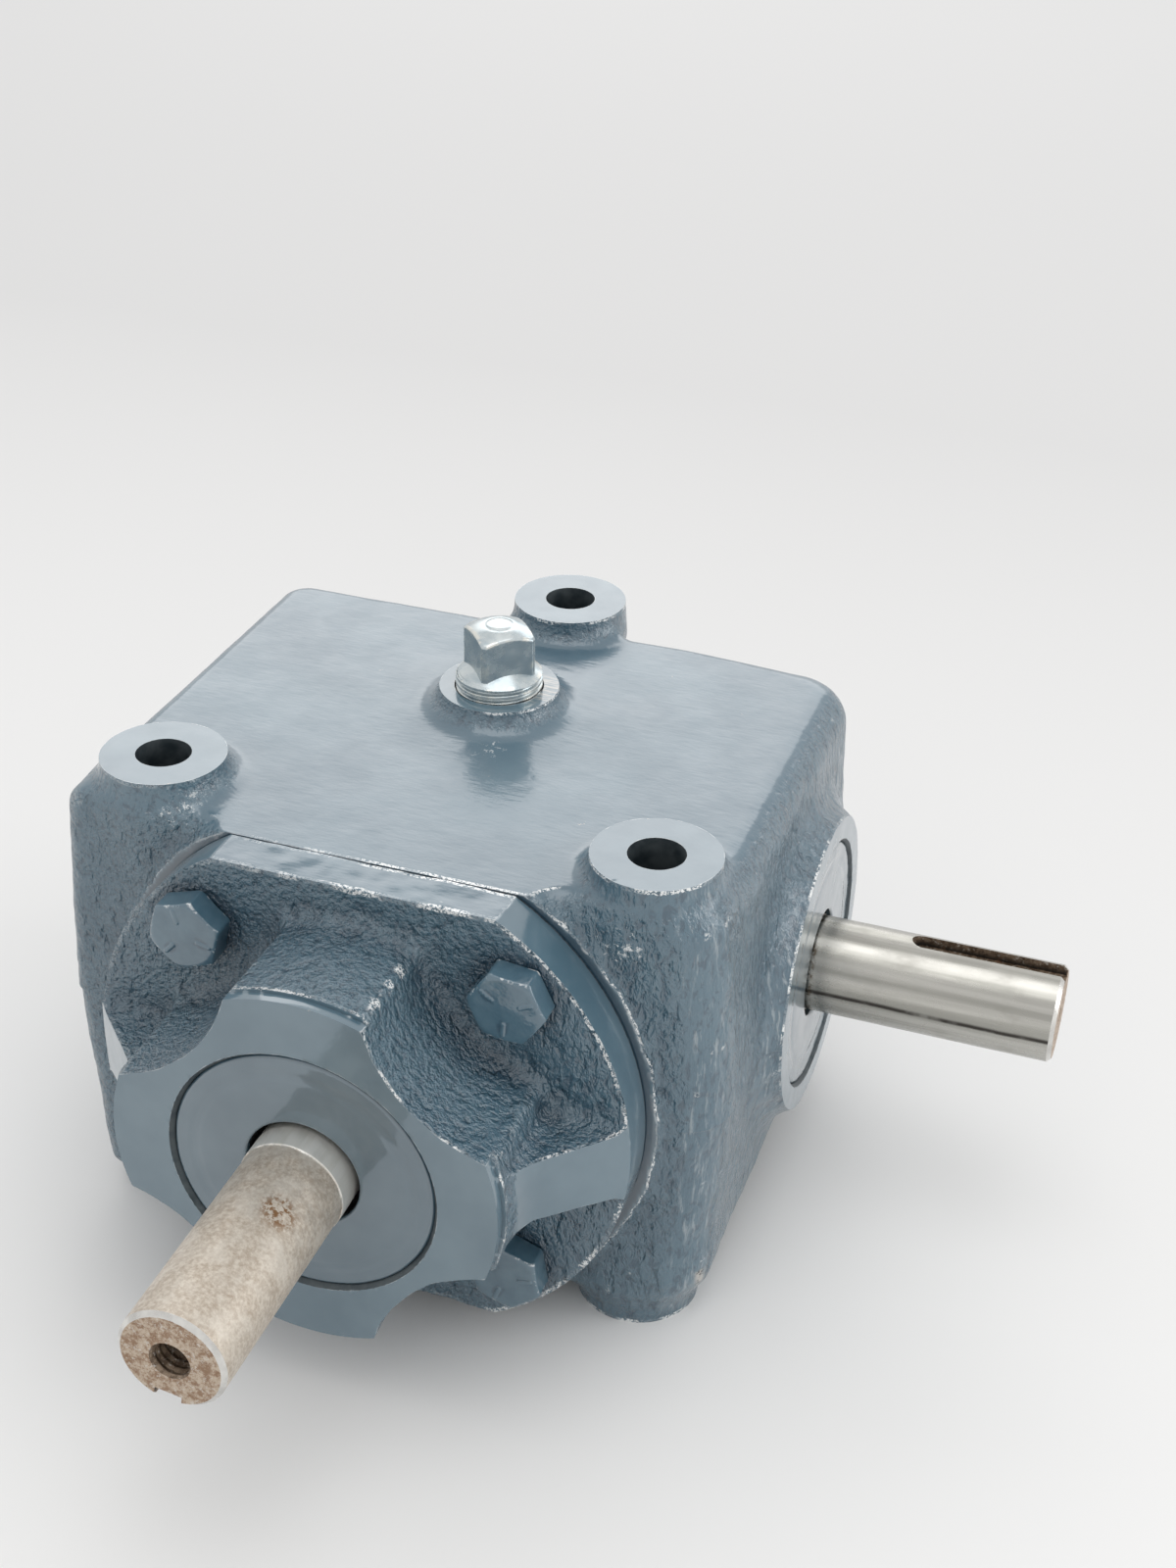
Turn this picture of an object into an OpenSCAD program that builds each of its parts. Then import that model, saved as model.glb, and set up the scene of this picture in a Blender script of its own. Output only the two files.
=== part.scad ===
// Right angle bevel gearbox with two keyed 3/4 inch shafts.
// The frame: the output shaft points along +X, the input shaft along -Y, and
// the origin lies on the base plane straight below the crossing of the axes.

/* [Housing] */
// Height of both shaft axes above the base plane
axis_h = 49.2; // [48.5:0.1:52]
// Half height of the cast body, measured from the shaft axes
body_half_h = 44.45; // [43.5:0.05:45]
// Half width of the body across the output shaft, at the parting plane
body_half_w = 65; // [64:0.1:66]
// Distance from the input axis plane back to the rear wall, at the parting plane
body_back = 40.8; // [39.5:0.1:42]
// Radius of the vertical corners of the casting
corner_r = 9; // [6:0.5:10]
// Radius of the top and bottom edges of the casting
edge_r = 4; // [2:0.5:5]
// Draft angle of the cast walls
draft = 2.5; // [0:0.5:3]

/* [Mounting] */
// Sideways distance from the centre plane to the two front mounting holes
mount_x = 47.6; // [47:0.1:48]
// Forward distance from the output axis to the two front mounting holes
mount_front = 47.6; // [47:0.1:48]
// Rearward distance from the output axis to the single rear mounting hole
mount_rear = 41.3; // [41:0.1:42]
// Diameter of the mounting holes
mount_hole_d = 10.3; // [9.5:0.1:11]
// Diameter of the mounting and plug bosses
boss_d = 23.6; // [23:0.1:24.5]

/* [Shafts] */
// Diameter of both shafts
shaft_d = 19.05; // [19.05]
// Distance from the axes' crossing to the end of the input shaft
input_reach = 139.7; // [135:0.1:150]
// Distance from the axes' crossing to the end of the output shaft
output_reach = 115.9; // [112:0.1:125]
// Width of the square keys
key_w = 4.76; // [4.76]
// Length of the open keyway on the input shaft
input_keyway_l = 32; // [20:1:36]
// Length of the open keyway on the output shaft
output_keyway_l = 30; // [20:1:36]
// Angle of the input keyway, from straight down towards -X
input_key_angle = 8; // [0:1:30]
// Angle of the output keyway, from straight up towards +Y
output_key_angle = 7; // [0:1:30]

/* [Bearing carrier] */
// Distance from the axes' crossing to the carrier's front face
carrier_front = 93.7; // [93.2:0.1:95]
// Distance from the axes' crossing to the front of the flange
flange_front = 70; // [69.5:0.1:71]
// Distance from the axes' crossing to the back of the flange
flange_back = 61.8; // [61.8]
// Radius of the flange
flange_r = 51.9; // [51.5:0.1:52.2]
// Radius of the bolt circle
bolt_circle_r = 42.86; // [42.5:0.01:43.2]
// Radius of the turned band at the front face
nose_r = 36.2; // [35.8:0.1:36.4]
// Radius of the cast barrel behind the turned band
barrel_r = 37.2; // [36.8:0.1:37.6]
// Radius of the four scallops that clear the bolt heads
scallop_r = 30; // [29:0.5:31]
// Distance from the input axis to the bottom of each scallop
scallop_depth_r = 28.9; // [28.5:0.1:29.5]

/* [Output boss] */
// Distance from the input axis plane to the output boss face
boss_face = 68.6; // [68.5:0.1:70]
// Radius of the machined face of the output boss
boss_face_r = 29.4; // [29:0.1:30.5]

/* [Bevel gears] */
// Number of teeth on each gear
teeth = 20; // [18:1:22]
// Size of the teeth at their large end
gear_module = 3.175; // [3:0.025:3.2]
// Width of the gear face along the cone
face_w = 12; // [10:0.5:13]
// Clearance on each tooth flank
flank_gap = 0.14; // [0.1:0.01:0.2]

/* [Bearings] */
// Number of rollers in each bearing
rollers = 13; // [11:1:13]
// Width of each bearing
bearing_w = 18.03; // [18.03]

/* [Hidden] */
$fn = 96;

paint = [0.36, 0.44, 0.49];
steel = [0.72, 0.71, 0.67];
dark_steel = [0.42, 0.42, 0.43];
zinc = [0.80, 0.83, 0.82];
bearing_steel = [0.66, 0.67, 0.69];
rubber = [0.07, 0.07, 0.07];
paper = [0.25, 0.22, 0.18];

shaft_r = shaft_d / 2;
seat_gap = 0.01;            // radial gap between pressed parts of one body
journal_r = shaft_r + 0.2;  // ground journal under each seal
input_journal_end = carrier_front + 4;
output_journal_end = boss_face - 1.1;
shaft_chamfer = 0.8;
seam_turn = 37;             // turns each bar so that its seam is clear of the keyways
key_depth = key_w / 2;
end_hole_r = 3.3;
end_hole_depth = 16;

housing_front = flange_back - 0.4;   // machined front face, behind the gasket
cast_front = housing_front - 1.4;    // rough front wall around the machined pad
pad_r = flange_r + 0.6;
pilot_r = 36.51;
cavity_r = 35.5;
cavity_half_w = 56;
inner_boss_r = 31;
inner_boss_start = 41.2;
edge_facets = 4;            // flats that turn each top and bottom edge over

bolt_r = 3.97;
bolt_clear_r = 4.4;
bolt_head_af = 12.7;
bolt_head_h = 5.36;
bolt_l = 25.4;

plug_thread_r = 8.6;
plug_bore_r = 8.7;
plug_thread_l = 12;
plug_pitch = 1.411;
plug_square = 11.1;

bearing_r = 24.61;
bearing_seat = 41.8;        // crossing to the back face of the inner bearings
cone_w = 19.05;
cup_w = 14.29;
outer_cone_back = 84.2;     // crossing to the back face of the outer input bearing
cup_race_open_r = 21.6;     // raceway radius at the open end of the cup
cup_angle = 16;
cone_angle = 11;
roller_l = 11;
roller_gap = 0.05;
roller_tilt = (cup_angle + cone_angle) / 2;
roller_taper = (cup_angle - cone_angle) / 2;
roller_mid_z = 10.8;        // roller centre, from the back face of the cone
pitch_mid_r = 15.9;
roller_mid_r = cos(roller_tilt) * (cup_race_r(roller_mid_z) - pitch_mid_r) * 0.985 - roller_gap;
cone_rib_r = 16.4;

seal_w = 6.35;
seal_recess = 0.5;
seal_hole_r = 10.9;
lip_gap = 0.06;
cap_w = 6;

shim_t = 0.25;
ring_t = 1.07;
cup_back = bearing_seat + bearing_w;
ring_start = cup_back + shim_t + 0.03;

pitch_r = teeth * gear_module / 2;
cone_dist = pitch_r * sqrt(2);
addendum = gear_module;
dedendum = 1.25 * gear_module;
inner_scale = 1 - face_w / cone_dist;
hub_r = 16.5;
rim_lip = 0.01;             // how far the blank stands out past the ends of the teeth
gear_front = pitch_r * inner_scale - 2.6;

// Raceway radius of a cup at distance z from the cone's back face.
function cup_race_r(z) = cup_race_open_r - (z - (bearing_w - cup_w)) * tan(cup_angle);
// Raceway radius of a cone: one roller's thickness inside the cup's raceway.
function cone_race_r(z) = cone_race_mid - (z - roller_mid_z) * tan(cone_angle);
cone_race_mid = pitch_mid_r - (roller_mid_r + roller_gap) / cos(roller_tilt);

// ---- placing ----

module at_axis_height() {
    translate([0, 0, axis_h]) children();
}

// Local +Z runs from the crossing of the axes along the input shaft.
module along_input() {
    at_axis_height() rotate([90, 0, 0]) children();
}

// Local +Z runs from the crossing of the axes along the output shaft.
module along_output() {
    at_axis_height() rotate([0, 90, 0]) children();
}

// Local +Z runs from the crossing of the axes towards the blind side.
module along_blind() {
    at_axis_height() rotate([0, -90, 0]) children();
}

// Local +Z runs back towards the crossing, from distance z out along +Z.
module facing_back(z) {
    translate([0, 0, z]) mirror([0, 0, 1]) children();
}

module at_mounting_holes() {
    for (p = [[-mount_x, -mount_front], [mount_x, -mount_front], [0, mount_rear]])
        translate([p[0], p[1], 0]) children();
}

module at_carrier_bolts() {
    for (a = [45:90:315])
        rotate([0, 0, a]) translate([bolt_circle_r, 0, 0]) children();
}

// A ring with a rectangular section, from height z0 to z1.
module ring(r_in, r_out, z0, z1) {
    rotate_extrude() translate([r_in, z0]) square([r_out - r_in, z1 - z0]);
}

// ---- housing ----

// Section through a drafted casting: the walls lean in by the draft angle
// above and below the parting plane and turn over to flat top and bottom.
module drafted_section(lo, hi) {
    turn = 90 - draft;
    inset = (body_half_h - edge_r) * tan(draft) + edge_r / cos(draft);
    rounding = [for (a = [0:turn / edge_facets:turn])
        [edge_r * cos(a + draft) - inset, body_half_h - edge_r + edge_r * sin(a + draft)]];
    n = len(rounding);
    polygon(concat(
        [[hi, 0]],
        [for (p = rounding) [hi + p[0], p[1]]],
        [for (i = [n - 1:-1:0]) [lo - rounding[i][0], rounding[i][1]]],
        [[lo, 0]],
        [for (p = rounding) [lo - p[0], -p[1]]],
        [for (i = [n - 1:-1:0]) [hi + rounding[i][0], -rounding[i][1]]]
    ));
}

module plan_outline() {
    w = body_half_w;
    translate([-w, corner_r - cast_front]) square([2 * w, cast_front + body_back - 2 * corner_r]);
    translate([corner_r - w, -cast_front]) square([2 * (w - corner_r), cast_front + body_back]);
    for (x = [corner_r - w, w - corner_r], y = [corner_r - cast_front, body_back - corner_r])
        translate([x, y]) circle(r = corner_r);
}

module cast_block() {
    intersection() {
        translate([0, 0, -60]) linear_extrude(120) plan_outline();
        rotate([90, 0, 0]) translate([0, 0, -60])
            linear_extrude(140) drafted_section(-body_half_w, body_half_w);
        rotate([90, 0, 90]) translate([0, 0, -80])
            linear_extrude(160) drafted_section(-cast_front - 1, body_back);
    }
}

module front_pad() {
    intersection() {
        rotate([90, 0, 0]) cylinder(r = pad_r, h = housing_front);
        translate([-60, -housing_front, -body_half_h]) cube([120, 20, 2 * body_half_h]);
    }
}

module output_bosses() {
    for (side = [0, 180])
        rotate([0, 90, side]) {
            translate([0, 0, boss_face - 9]) cylinder(r1 = boss_face_r + 8, r2 = boss_face_r, h = 8.6);
            translate([0, 0, boss_face - 10]) cylinder(r = boss_face_r, h = 10);
        }
}

module housing_cavity() {
    difference() {
        union() {
            rotate([90, 0, 0]) cylinder(r = pilot_r, h = housing_front + 1);
            translate([-cavity_half_w, 0, 0]) rotate([0, 90, 0]) cylinder(r = cavity_r, h = 2 * cavity_half_w);
        }
        for (side = [0, 180])
            rotate([0, 90, side]) translate([0, 0, inner_boss_start]) cylinder(r = inner_boss_r, h = 20);
        translate([0, mount_rear, -60]) cylinder(d = boss_d, h = 120);
    }
}

module housing() {
    color(paint) at_axis_height() difference() {
        union() {
            cast_block();
            front_pad();
            output_bosses();
            at_mounting_holes() translate([0, 0, -axis_h]) cylinder(d = boss_d, h = 2 * axis_h);
            translate([0, 0, -axis_h]) cylinder(d = boss_d, h = 2 * axis_h);
        }
        housing_cavity();
        rotate([0, 90, 0]) cylinder(r = bearing_r + seat_gap, h = 200, center = true);
        for (side = [0, 180])
            rotate([0, 90, side]) translate([0, 0, ring_start - 0.05]) cylinder(r = bearing_r + 1.5, h = ring_t + 0.1);
        cylinder(r = plug_bore_r, h = 150, center = true);
        at_mounting_holes() cylinder(d = mount_hole_d, h = 150, center = true);
        rotate([90, 0, 0]) at_carrier_bolts()
            translate([0, 0, flange_front - bolt_l - 2]) cylinder(r = bolt_r + 0.04, h = bolt_l);
    }
}

// ---- bearing carrier and its bolts ----

module carrier_flange() {
    intersection() {
        translate([0, 0, flange_back]) cylinder(r = flange_r, h = flange_front - flange_back);
        translate([-60, -body_half_h, 0]) cube([120, 2 * body_half_h, 100]);
    }
}

// A sloping rib on each side, from the barrel down to the flange's rim.
module carrier_rib() {
    rib_t = 13.2;
    rib_rise = 15;
    rotate([90, 0, 0]) translate([0, 0, -rib_t / 2]) linear_extrude(rib_t) polygon([
        [30, flange_front - 1],
        [flange_r - 0.4, flange_front - 1],
        [flange_r - 0.4, flange_front],
        [barrel_r - 0.4, flange_front + rib_rise],
        [30, flange_front + rib_rise]
    ]);
}

module bearing_carrier() {
    barrel_end = carrier_front - 2.5;
    pilot_end = flange_back - 9.5;
    nose_end = bearing_seat + 4.2;
    color(paint) along_input() difference() {
        union() {
            difference() {
                union() {
                    translate([0, 0, flange_front - 1]) cylinder(r = barrel_r, h = barrel_end - flange_front + 1);
                    translate([0, 0, barrel_end - 1]) cylinder(r = nose_r, h = carrier_front - barrel_end + 1);
                    carrier_rib();
                    mirror([1, 0, 0]) carrier_rib();
                }
                for (a = [45:90:315])
                    rotate([0, 0, a]) translate([scallop_depth_r + scallop_r, 0, flange_front])
                        cylinder(r = scallop_r, h = 40);
            }
            carrier_flange();
            translate([0, 0, pilot_end]) cylinder(r = pilot_r - 0.03, h = flange_back - pilot_end + 1);
            translate([0, 0, nose_end]) cylinder(r = 30.5, h = pilot_end - nose_end + 1);
        }
        translate([0, 0, 40]) cylinder(r = 19.5, h = 60);
        translate([0, 0, 40]) cylinder(r = bearing_r + seat_gap, h = cup_back - 40);
        translate([0, 0, outer_cone_back - bearing_w]) cylinder(r = bearing_r + seat_gap, h = 60);
        at_carrier_bolts() cylinder(r = bolt_clear_r, h = 100);
    }
}

module carrier_gasket() {
    color(paper) along_input() difference() {
        intersection() {
            translate([0, 0, housing_front]) cylinder(r = flange_r - 0.1, h = flange_back - housing_front);
            translate([-60, 0.2 - body_half_h, 0]) cube([120, 2 * body_half_h - 0.4, 100]);
        }
        cylinder(r = pilot_r + 0.3, h = 100);
        at_carrier_bolts() cylinder(r = bolt_clear_r, h = 100);
    }
}

module hex_bolt() {
    translate([0, 0, -bolt_l]) cylinder(r = bolt_r, h = bolt_l);
    translate([0, 0, -bolt_l]) cylinder(r1 = bolt_r - 0.7, r2 = bolt_r, h = 0.7);
    intersection() {
        cylinder(r = bolt_head_af / sqrt(3), h = bolt_head_h, $fn = 6);
        union() {
            cylinder(r = 8, h = bolt_head_h - 1);
            translate([0, 0, bolt_head_h - 1]) cylinder(r1 = 7.6, r2 = 5.9, h = 1);
        }
    }
}

module carrier_bolts() {
    color(paint) along_input() at_carrier_bolts() translate([0, 0, flange_front]) hex_bolt();
}

// ---- pipe plugs ----

// The threaded stem of a plug, crests and roots as rings, from z = 0 down.
module plug_thread() {
    root_r = plug_thread_r - 0.75;
    translate([0, 0, -plug_thread_l]) cylinder(r = root_r, h = plug_thread_l);
    for (i = [0:floor(plug_thread_l / plug_pitch) - 1])
        rotate_extrude() polygon([
            [root_r - 1, -(i + 0.08) * plug_pitch],
            [root_r, -(i + 0.08) * plug_pitch],
            [plug_thread_r, -(i + 0.42) * plug_pitch],
            [plug_thread_r, -(i + 0.58) * plug_pitch],
            [root_r, -(i + 0.92) * plug_pitch],
            [root_r - 1, -(i + 0.92) * plug_pitch]
        ]);
}

module filler_plug() {
    head_bottom = 2.7;
    head_top = 13.2;
    color(zinc) translate([0, 0, 2 * axis_h]) {
        translate([0, 0, head_bottom]) plug_thread();
        rotate([0, 0, -2.5]) intersection() {
            rotate([0, 0, 45]) translate([-plug_square / 2, -plug_square / 2, head_bottom - 1])
                cube([plug_square, plug_square, head_top - head_bottom + 1]);
            union() {
                translate([0, 0, head_bottom - 1]) cylinder(r = 7.4, h = head_top - head_bottom - 1.1);
                translate([0, 0, head_top - 2.1]) cylinder(r1 = 7.4, r2 = 4, h = 2.1);
            }
        }
    }
}

module drain_plug() {
    color(zinc) translate([0, 0, 0.8]) mirror([0, 0, 1]) difference() {
        plug_thread();
        translate([0, 0, -6]) cylinder(r = 7.94 / sqrt(3), h = 8, $fn = 6);
    }
}

// ---- seals and the blind cap, outer face at z = 0 and body below ----

module seal_case() {
    rotate_extrude() polygon([
        [seal_hole_r, 0],
        [bearing_r - 0.5, 0],
        [bearing_r, -0.5],
        [bearing_r, -seal_w],
        [bearing_r - 1.2, -seal_w],
        [bearing_r - 1.2, -1.2],
        [seal_hole_r, -1.2]
    ]);
}

// The moulded lip that runs on the shaft's journal.
module seal_lip() {
    rotate_extrude() polygon([
        [seal_hole_r + 0.3, -1.25],
        [14.5, -1.25],
        [14.5, -2.4],
        [12.2, -2.6],
        [11.6, -4.1],
        [11.4, -5.6],
        [journal_r + 0.9, -5.9],
        [journal_r + lip_gap, -4.9],
        [journal_r + 0.9, -3.6],
        [seal_hole_r - 0.2, -2.2]
    ]);
}

module seal_spring() {
    translate([0, 0, -4.9]) rotate_extrude() translate([12.3, 0]) circle(r = 0.6, $fn = 24);
}

module input_seal_case() {
    color(paint) along_input() translate([0, 0, carrier_front - seal_recess]) seal_case();
}

module input_seal_lip() {
    color(rubber) along_input() translate([0, 0, carrier_front - seal_recess]) seal_lip();
}

module input_seal_spring() {
    color(steel) along_input() translate([0, 0, carrier_front - seal_recess]) seal_spring();
}

module output_seal_case() {
    color(paint) along_output() translate([0, 0, boss_face - seal_recess]) seal_case();
}

module output_seal_lip() {
    color(rubber) along_output() translate([0, 0, boss_face - seal_recess]) seal_lip();
}

module output_seal_spring() {
    color(steel) along_output() translate([0, 0, boss_face - seal_recess]) seal_spring();
}

module blind_cap() {
    color(paint) along_blind() translate([0, 0, boss_face - seal_recess]) rotate_extrude() polygon([
        [0, -0.6],
        [15, -0.6],
        [17.5, 0],
        [bearing_r - 1, 0],
        [bearing_r, -1],
        [bearing_r, -cap_w],
        [bearing_r - 1.4, -cap_w],
        [bearing_r - 1.4, -1.6],
        [17, -1.6],
        [14.5, -2.2],
        [0, -2.2]
    ]);
}

// ---- tapered roller bearings: the cone's back face at z = 0 ----

module bearing_cup() {
    z0 = bearing_w - cup_w;
    color(bearing_steel) rotate_extrude() polygon([
        [cup_race_r(z0), z0],
        [bearing_r - 0.6, z0],
        [bearing_r, z0 + 0.6],
        [bearing_r, bearing_w - 1],
        [bearing_r - 1, bearing_w],
        [cup_race_r(bearing_w), bearing_w]
    ]);
}

module bearing_cone() {
    race_start = roller_mid_z - roller_l / 2 * cos(roller_tilt) - 0.6;
    race_end = roller_mid_z + roller_l / 2 * cos(roller_tilt) + 0.3;
    bore_r = shaft_r + seat_gap;
    color(bearing_steel) rotate_extrude() polygon([
        [bore_r, 1],
        [bore_r + 1, 0],
        [cone_rib_r, 0],
        [cone_rib_r, race_start - 1.4],
        [cone_race_r(race_start), race_start - 0.8],
        [cone_race_r(race_end), race_end],
        [cone_race_r(race_end) + 0.4, race_end + 0.4],
        [cone_race_r(race_end) + 0.2, cone_w],
        [bore_r + 0.6, cone_w],
        [bore_r, cone_w - 0.6]
    ]);
}

// One roller on its tilted axis, with an optional allowance all round.
module roller(extra) {
    big_r = roller_mid_r + roller_l / 2 * tan(roller_taper) + extra;
    small_r = roller_mid_r - roller_l / 2 * tan(roller_taper) + extra;
    len = roller_l + 2 * extra;
    translate([pitch_mid_r, 0, roller_mid_z]) rotate([0, -roller_tilt, 0])
        translate([0, 0, -len / 2]) cylinder(r1 = big_r, r2 = small_r, h = len, $fn = 32);
}

module roller_set() {
    color(bearing_steel) for (i = [0:rollers - 1])
        rotate([0, 0, i * 360 / rollers]) roller(0);
}

// A pressed conical cage with one window for each roller.
module roller_cage() {
    z0 = roller_mid_z - roller_l / 2 - 1.1;
    z1 = roller_mid_z + roller_l / 2 + 0.9;
    mid = pitch_mid_r + 0.9;
    lean = tan(roller_tilt);
    half_t = 0.45;
    color(dark_steel) difference() {
        rotate_extrude() polygon([
            [mid - (z0 - roller_mid_z) * lean - half_t, z0],
            [mid - (z0 - roller_mid_z) * lean + half_t, z0],
            [mid - (z1 - roller_mid_z) * lean + half_t, z1],
            [mid - (z1 - roller_mid_z) * lean - half_t, z1]
        ]);
        for (i = [0:rollers - 1])
            rotate([0, 0, i * 360 / rollers]) roller(0.08);
    }
}

// The outer input bearing's cone faces out; every other cone faces the crossing.
module at_input_outer() {
    along_input() facing_back(outer_cone_back) children();
}

module at_input_inner() {
    along_input() translate([0, 0, bearing_seat]) children();
}

module at_output_drive() {
    along_output() translate([0, 0, bearing_seat]) children();
}

module at_output_blind() {
    along_blind() translate([0, 0, bearing_seat]) children();
}

module input_cup_outer() { at_input_outer() bearing_cup(); }
module input_cup_inner() { at_input_inner() bearing_cup(); }
module output_cup_drive() { at_output_drive() bearing_cup(); }
module output_cup_blind() { at_output_blind() bearing_cup(); }
module input_cone_outer() { at_input_outer() bearing_cone(); }
module input_cone_inner() { at_input_inner() bearing_cone(); }
module output_cone_drive() { at_output_drive() bearing_cone(); }
module output_cone_blind() { at_output_blind() bearing_cone(); }
module rollers_input_outer() { at_input_outer() roller_set(); }
module rollers_input_inner() { at_input_inner() roller_set(); }
module rollers_output_drive() { at_output_drive() roller_set(); }
module rollers_output_blind() { at_output_blind() roller_set(); }
module cage_input_outer() { at_input_outer() roller_cage(); }
module cage_input_inner() { at_input_inner() roller_cage(); }
module cage_output_drive() { at_output_drive() roller_cage(); }
module cage_output_blind() { at_output_blind() roller_cage(); }

// ---- rings, shims and spacers ----

// A split retaining ring from height 0 to ring_t, its gap at local +X.
module split_ring(r_in, r_out, lug_side) {
    gap = 24;
    difference() {
        union() {
            rotate([0, 0, gap / 2]) rotate_extrude(angle = 360 - gap)
                translate([r_in, 0]) square([r_out - r_in, ring_t]);
            for (a = [-gap / 2 - 3, gap / 2 + 3])
                rotate([0, 0, a]) translate([(lug_side < 0 ? r_in : r_out) + lug_side * 0.4, 0, 0])
                    cylinder(r = 1.7, h = ring_t);
        }
        for (a = [-gap / 2 - 3, gap / 2 + 3])
            rotate([0, 0, a]) translate([(lug_side < 0 ? r_in : r_out) + lug_side * 0.4, 0, -1])
                cylinder(r = 0.8, h = ring_t + 2);
    }
}

module bore_ring() {
    color(dark_steel) translate([0, 0, ring_start]) split_ring(bearing_r - 2.2, bearing_r + 1.2, -1);
}

module cup_shim() {
    color(steel) ring(bearing_r - 4.5, bearing_r - 0.1, cup_back + 0.01, cup_back + shim_t);
}

module output_snap_ring_drive() { along_output() bore_ring(); }
module output_snap_ring_blind() { along_blind() bore_ring(); }
module output_shim_drive() { along_output() cup_shim(); }
module output_shim_blind() { along_blind() cup_shim(); }

module input_shaft_ring() {
    color(dark_steel) along_input() translate([0, 0, outer_cone_back + 0.02]) split_ring(shaft_r - 0.7, shaft_r + 1.9, 1);
}

module pinion_ring() {
    color(dark_steel) along_input() translate([0, 0, gear_front - ring_t - 0.02]) split_ring(shaft_r - 0.7, shaft_r + 1.9, 1);
}

module output_shaft_ring() {
    color(dark_steel) along_blind() translate([0, 0, bearing_seat + cone_w + 0.02])
        split_ring(shaft_r - 0.7, shaft_r + 1.9, 1);
}

module input_spacer() {
    color(steel) along_input() ring(
        shaft_r + seat_gap, shaft_r + 2.6, bearing_seat + cone_w + 0.01, outer_cone_back - cone_w - 0.01
    );
}

module output_spacer() {
    color(steel) along_output() ring(shaft_r + seat_gap, shaft_r + 3.2, 0.01 - gear_front, bearing_seat - 0.01);
}

// ---- bevel gears: the apex at the origin, the gear up the +Z axis ----

// The involute's roll angle at pressure angle a, in radians.
function involute(a) = tan(a) - a * PI / 180;
virtual_r = cone_dist;
base_r = virtual_r * cos(20);
half_tooth = PI / (2 * teeth * sqrt(2)) + involute(20) - flank_gap / virtual_r;
// Half the angle that a tooth takes up, at height h above the pitch cone.
function tooth_angle(h) =
    let (r = max(virtual_r + h, base_r + 0.001))
    sqrt(2) * (half_tooth - involute(acos(base_r / r))) * 180 / PI;
// A point on a tooth flank: height h over the pitch cone, turned by angle a.
function flank_point(h, a, k) =
    let (r = k * (cone_dist + h) / sqrt(2), z = k * (cone_dist - h) / sqrt(2))
    [r * cos(a), r * sin(a), z];
tooth_heights = [-dedendum - 0.5, -dedendum / 2, 0, addendum / 2, addendum];
steps = len(tooth_heights);

module gear_tooth() {
    loop = [
        for (h = tooth_heights) [h, tooth_angle(h)],
        for (i = [steps - 1:-1:0]) [tooth_heights[i], -tooth_angle(tooth_heights[i])]
    ];
    n = len(loop);
    outer = [for (p = loop) flank_point(p[0], p[1], 1)];
    inner = [for (p = loop) flank_point(p[0], p[1], inner_scale)];
    polyhedron(
        points = concat(outer, inner),
        faces = concat(
            [for (i = [0:steps - 2]) [i, i + 1, n - 2 - i, n - 1 - i]],
            [for (i = [0:steps - 2]) [n + n - 1 - i, n + n - 2 - i, n + i + 1, n + i]],
            [for (i = [0:n - 1]) [i, n + i, n + (i + 1) % n, (i + 1) % n]]
        )
    );
}

// The turned blank under the teeth, with its hub, as a half section.
module gear_blank() {
    root = [(cone_dist - dedendum) / sqrt(2), (cone_dist + dedendum) / sqrt(2)];
    root_out = root * (1 + rim_lip);
    root_in = root * (inner_scale - rim_lip);
    back = root_out[1] + 3;
    rotate_extrude() polygon([
        [shaft_r + seat_gap, gear_front],
        [root_in[0] - (root_in[1] - gear_front), gear_front],
        root_in,
        root_out,
        [root_out[0] - 3, back],
        [hub_r, back],
        [hub_r, bearing_seat - 0.02],
        [shaft_r + seat_gap, bearing_seat - 0.02]
    ]);
}

module bevel(first_tooth, key_angle) {
    color(dark_steel) difference() {
        union() {
            gear_blank();
            for (i = [0:teeth - 1])
                rotate([0, 0, first_tooth + i * 360 / teeth]) gear_tooth();
        }
        rotate([0, 0, key_angle]) translate([0, -key_w / 2 - 0.02, 0])
            cube([shaft_r + key_depth + 0.1, key_w + 0.04, 80]);
    }
}

module inner_key(key_angle) {
    color(steel) rotate([0, 0, key_angle])
        translate([shaft_r - key_depth + 0.02, -key_w / 2, gear_front + 1]) cube([key_w, key_w, 17]);
}

module bevel_pinion() { along_input() bevel(0, 90); }
module bevel_gear() { along_blind() bevel(180 / teeth, 0); }
module pinion_key() { along_input() inner_key(90); }
module gear_key() { along_blind() inner_key(0); }

// ---- shafts: local +Z along the shaft ----

// An open keyway of length l in the end at z, on the local +X side.
module end_keyway(z, l) {
    bottom = shaft_r - key_depth;
    translate([bottom, -key_w / 2, z - l + key_w / 2]) cube([10, key_w, l]);
    translate([bottom, 0, z - l + key_w / 2]) rotate([0, 90, 0]) cylinder(d = key_w, h = 10);
}

module closed_keyway() {
    translate([shaft_r - key_depth, -key_w / 2 - 0.01, gear_front + 0.9]) cube([10, key_w + 0.02, 17.2]);
}

// A groove for a retaining ring, its near wall at z.
module ring_groove(z) {
    ring(shaft_r - 0.72, shaft_r + 2, z, z + ring_t + 0.04);
}

module chamfered_bar(r, z0, z1) {
    rotate_extrude() polygon([
        [0, z0],
        [r - shaft_chamfer, z0],
        [r, z0 + shaft_chamfer],
        [r, z1 - shaft_chamfer],
        [r - shaft_chamfer, z1],
        [0, z1]
    ]);
}

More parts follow.
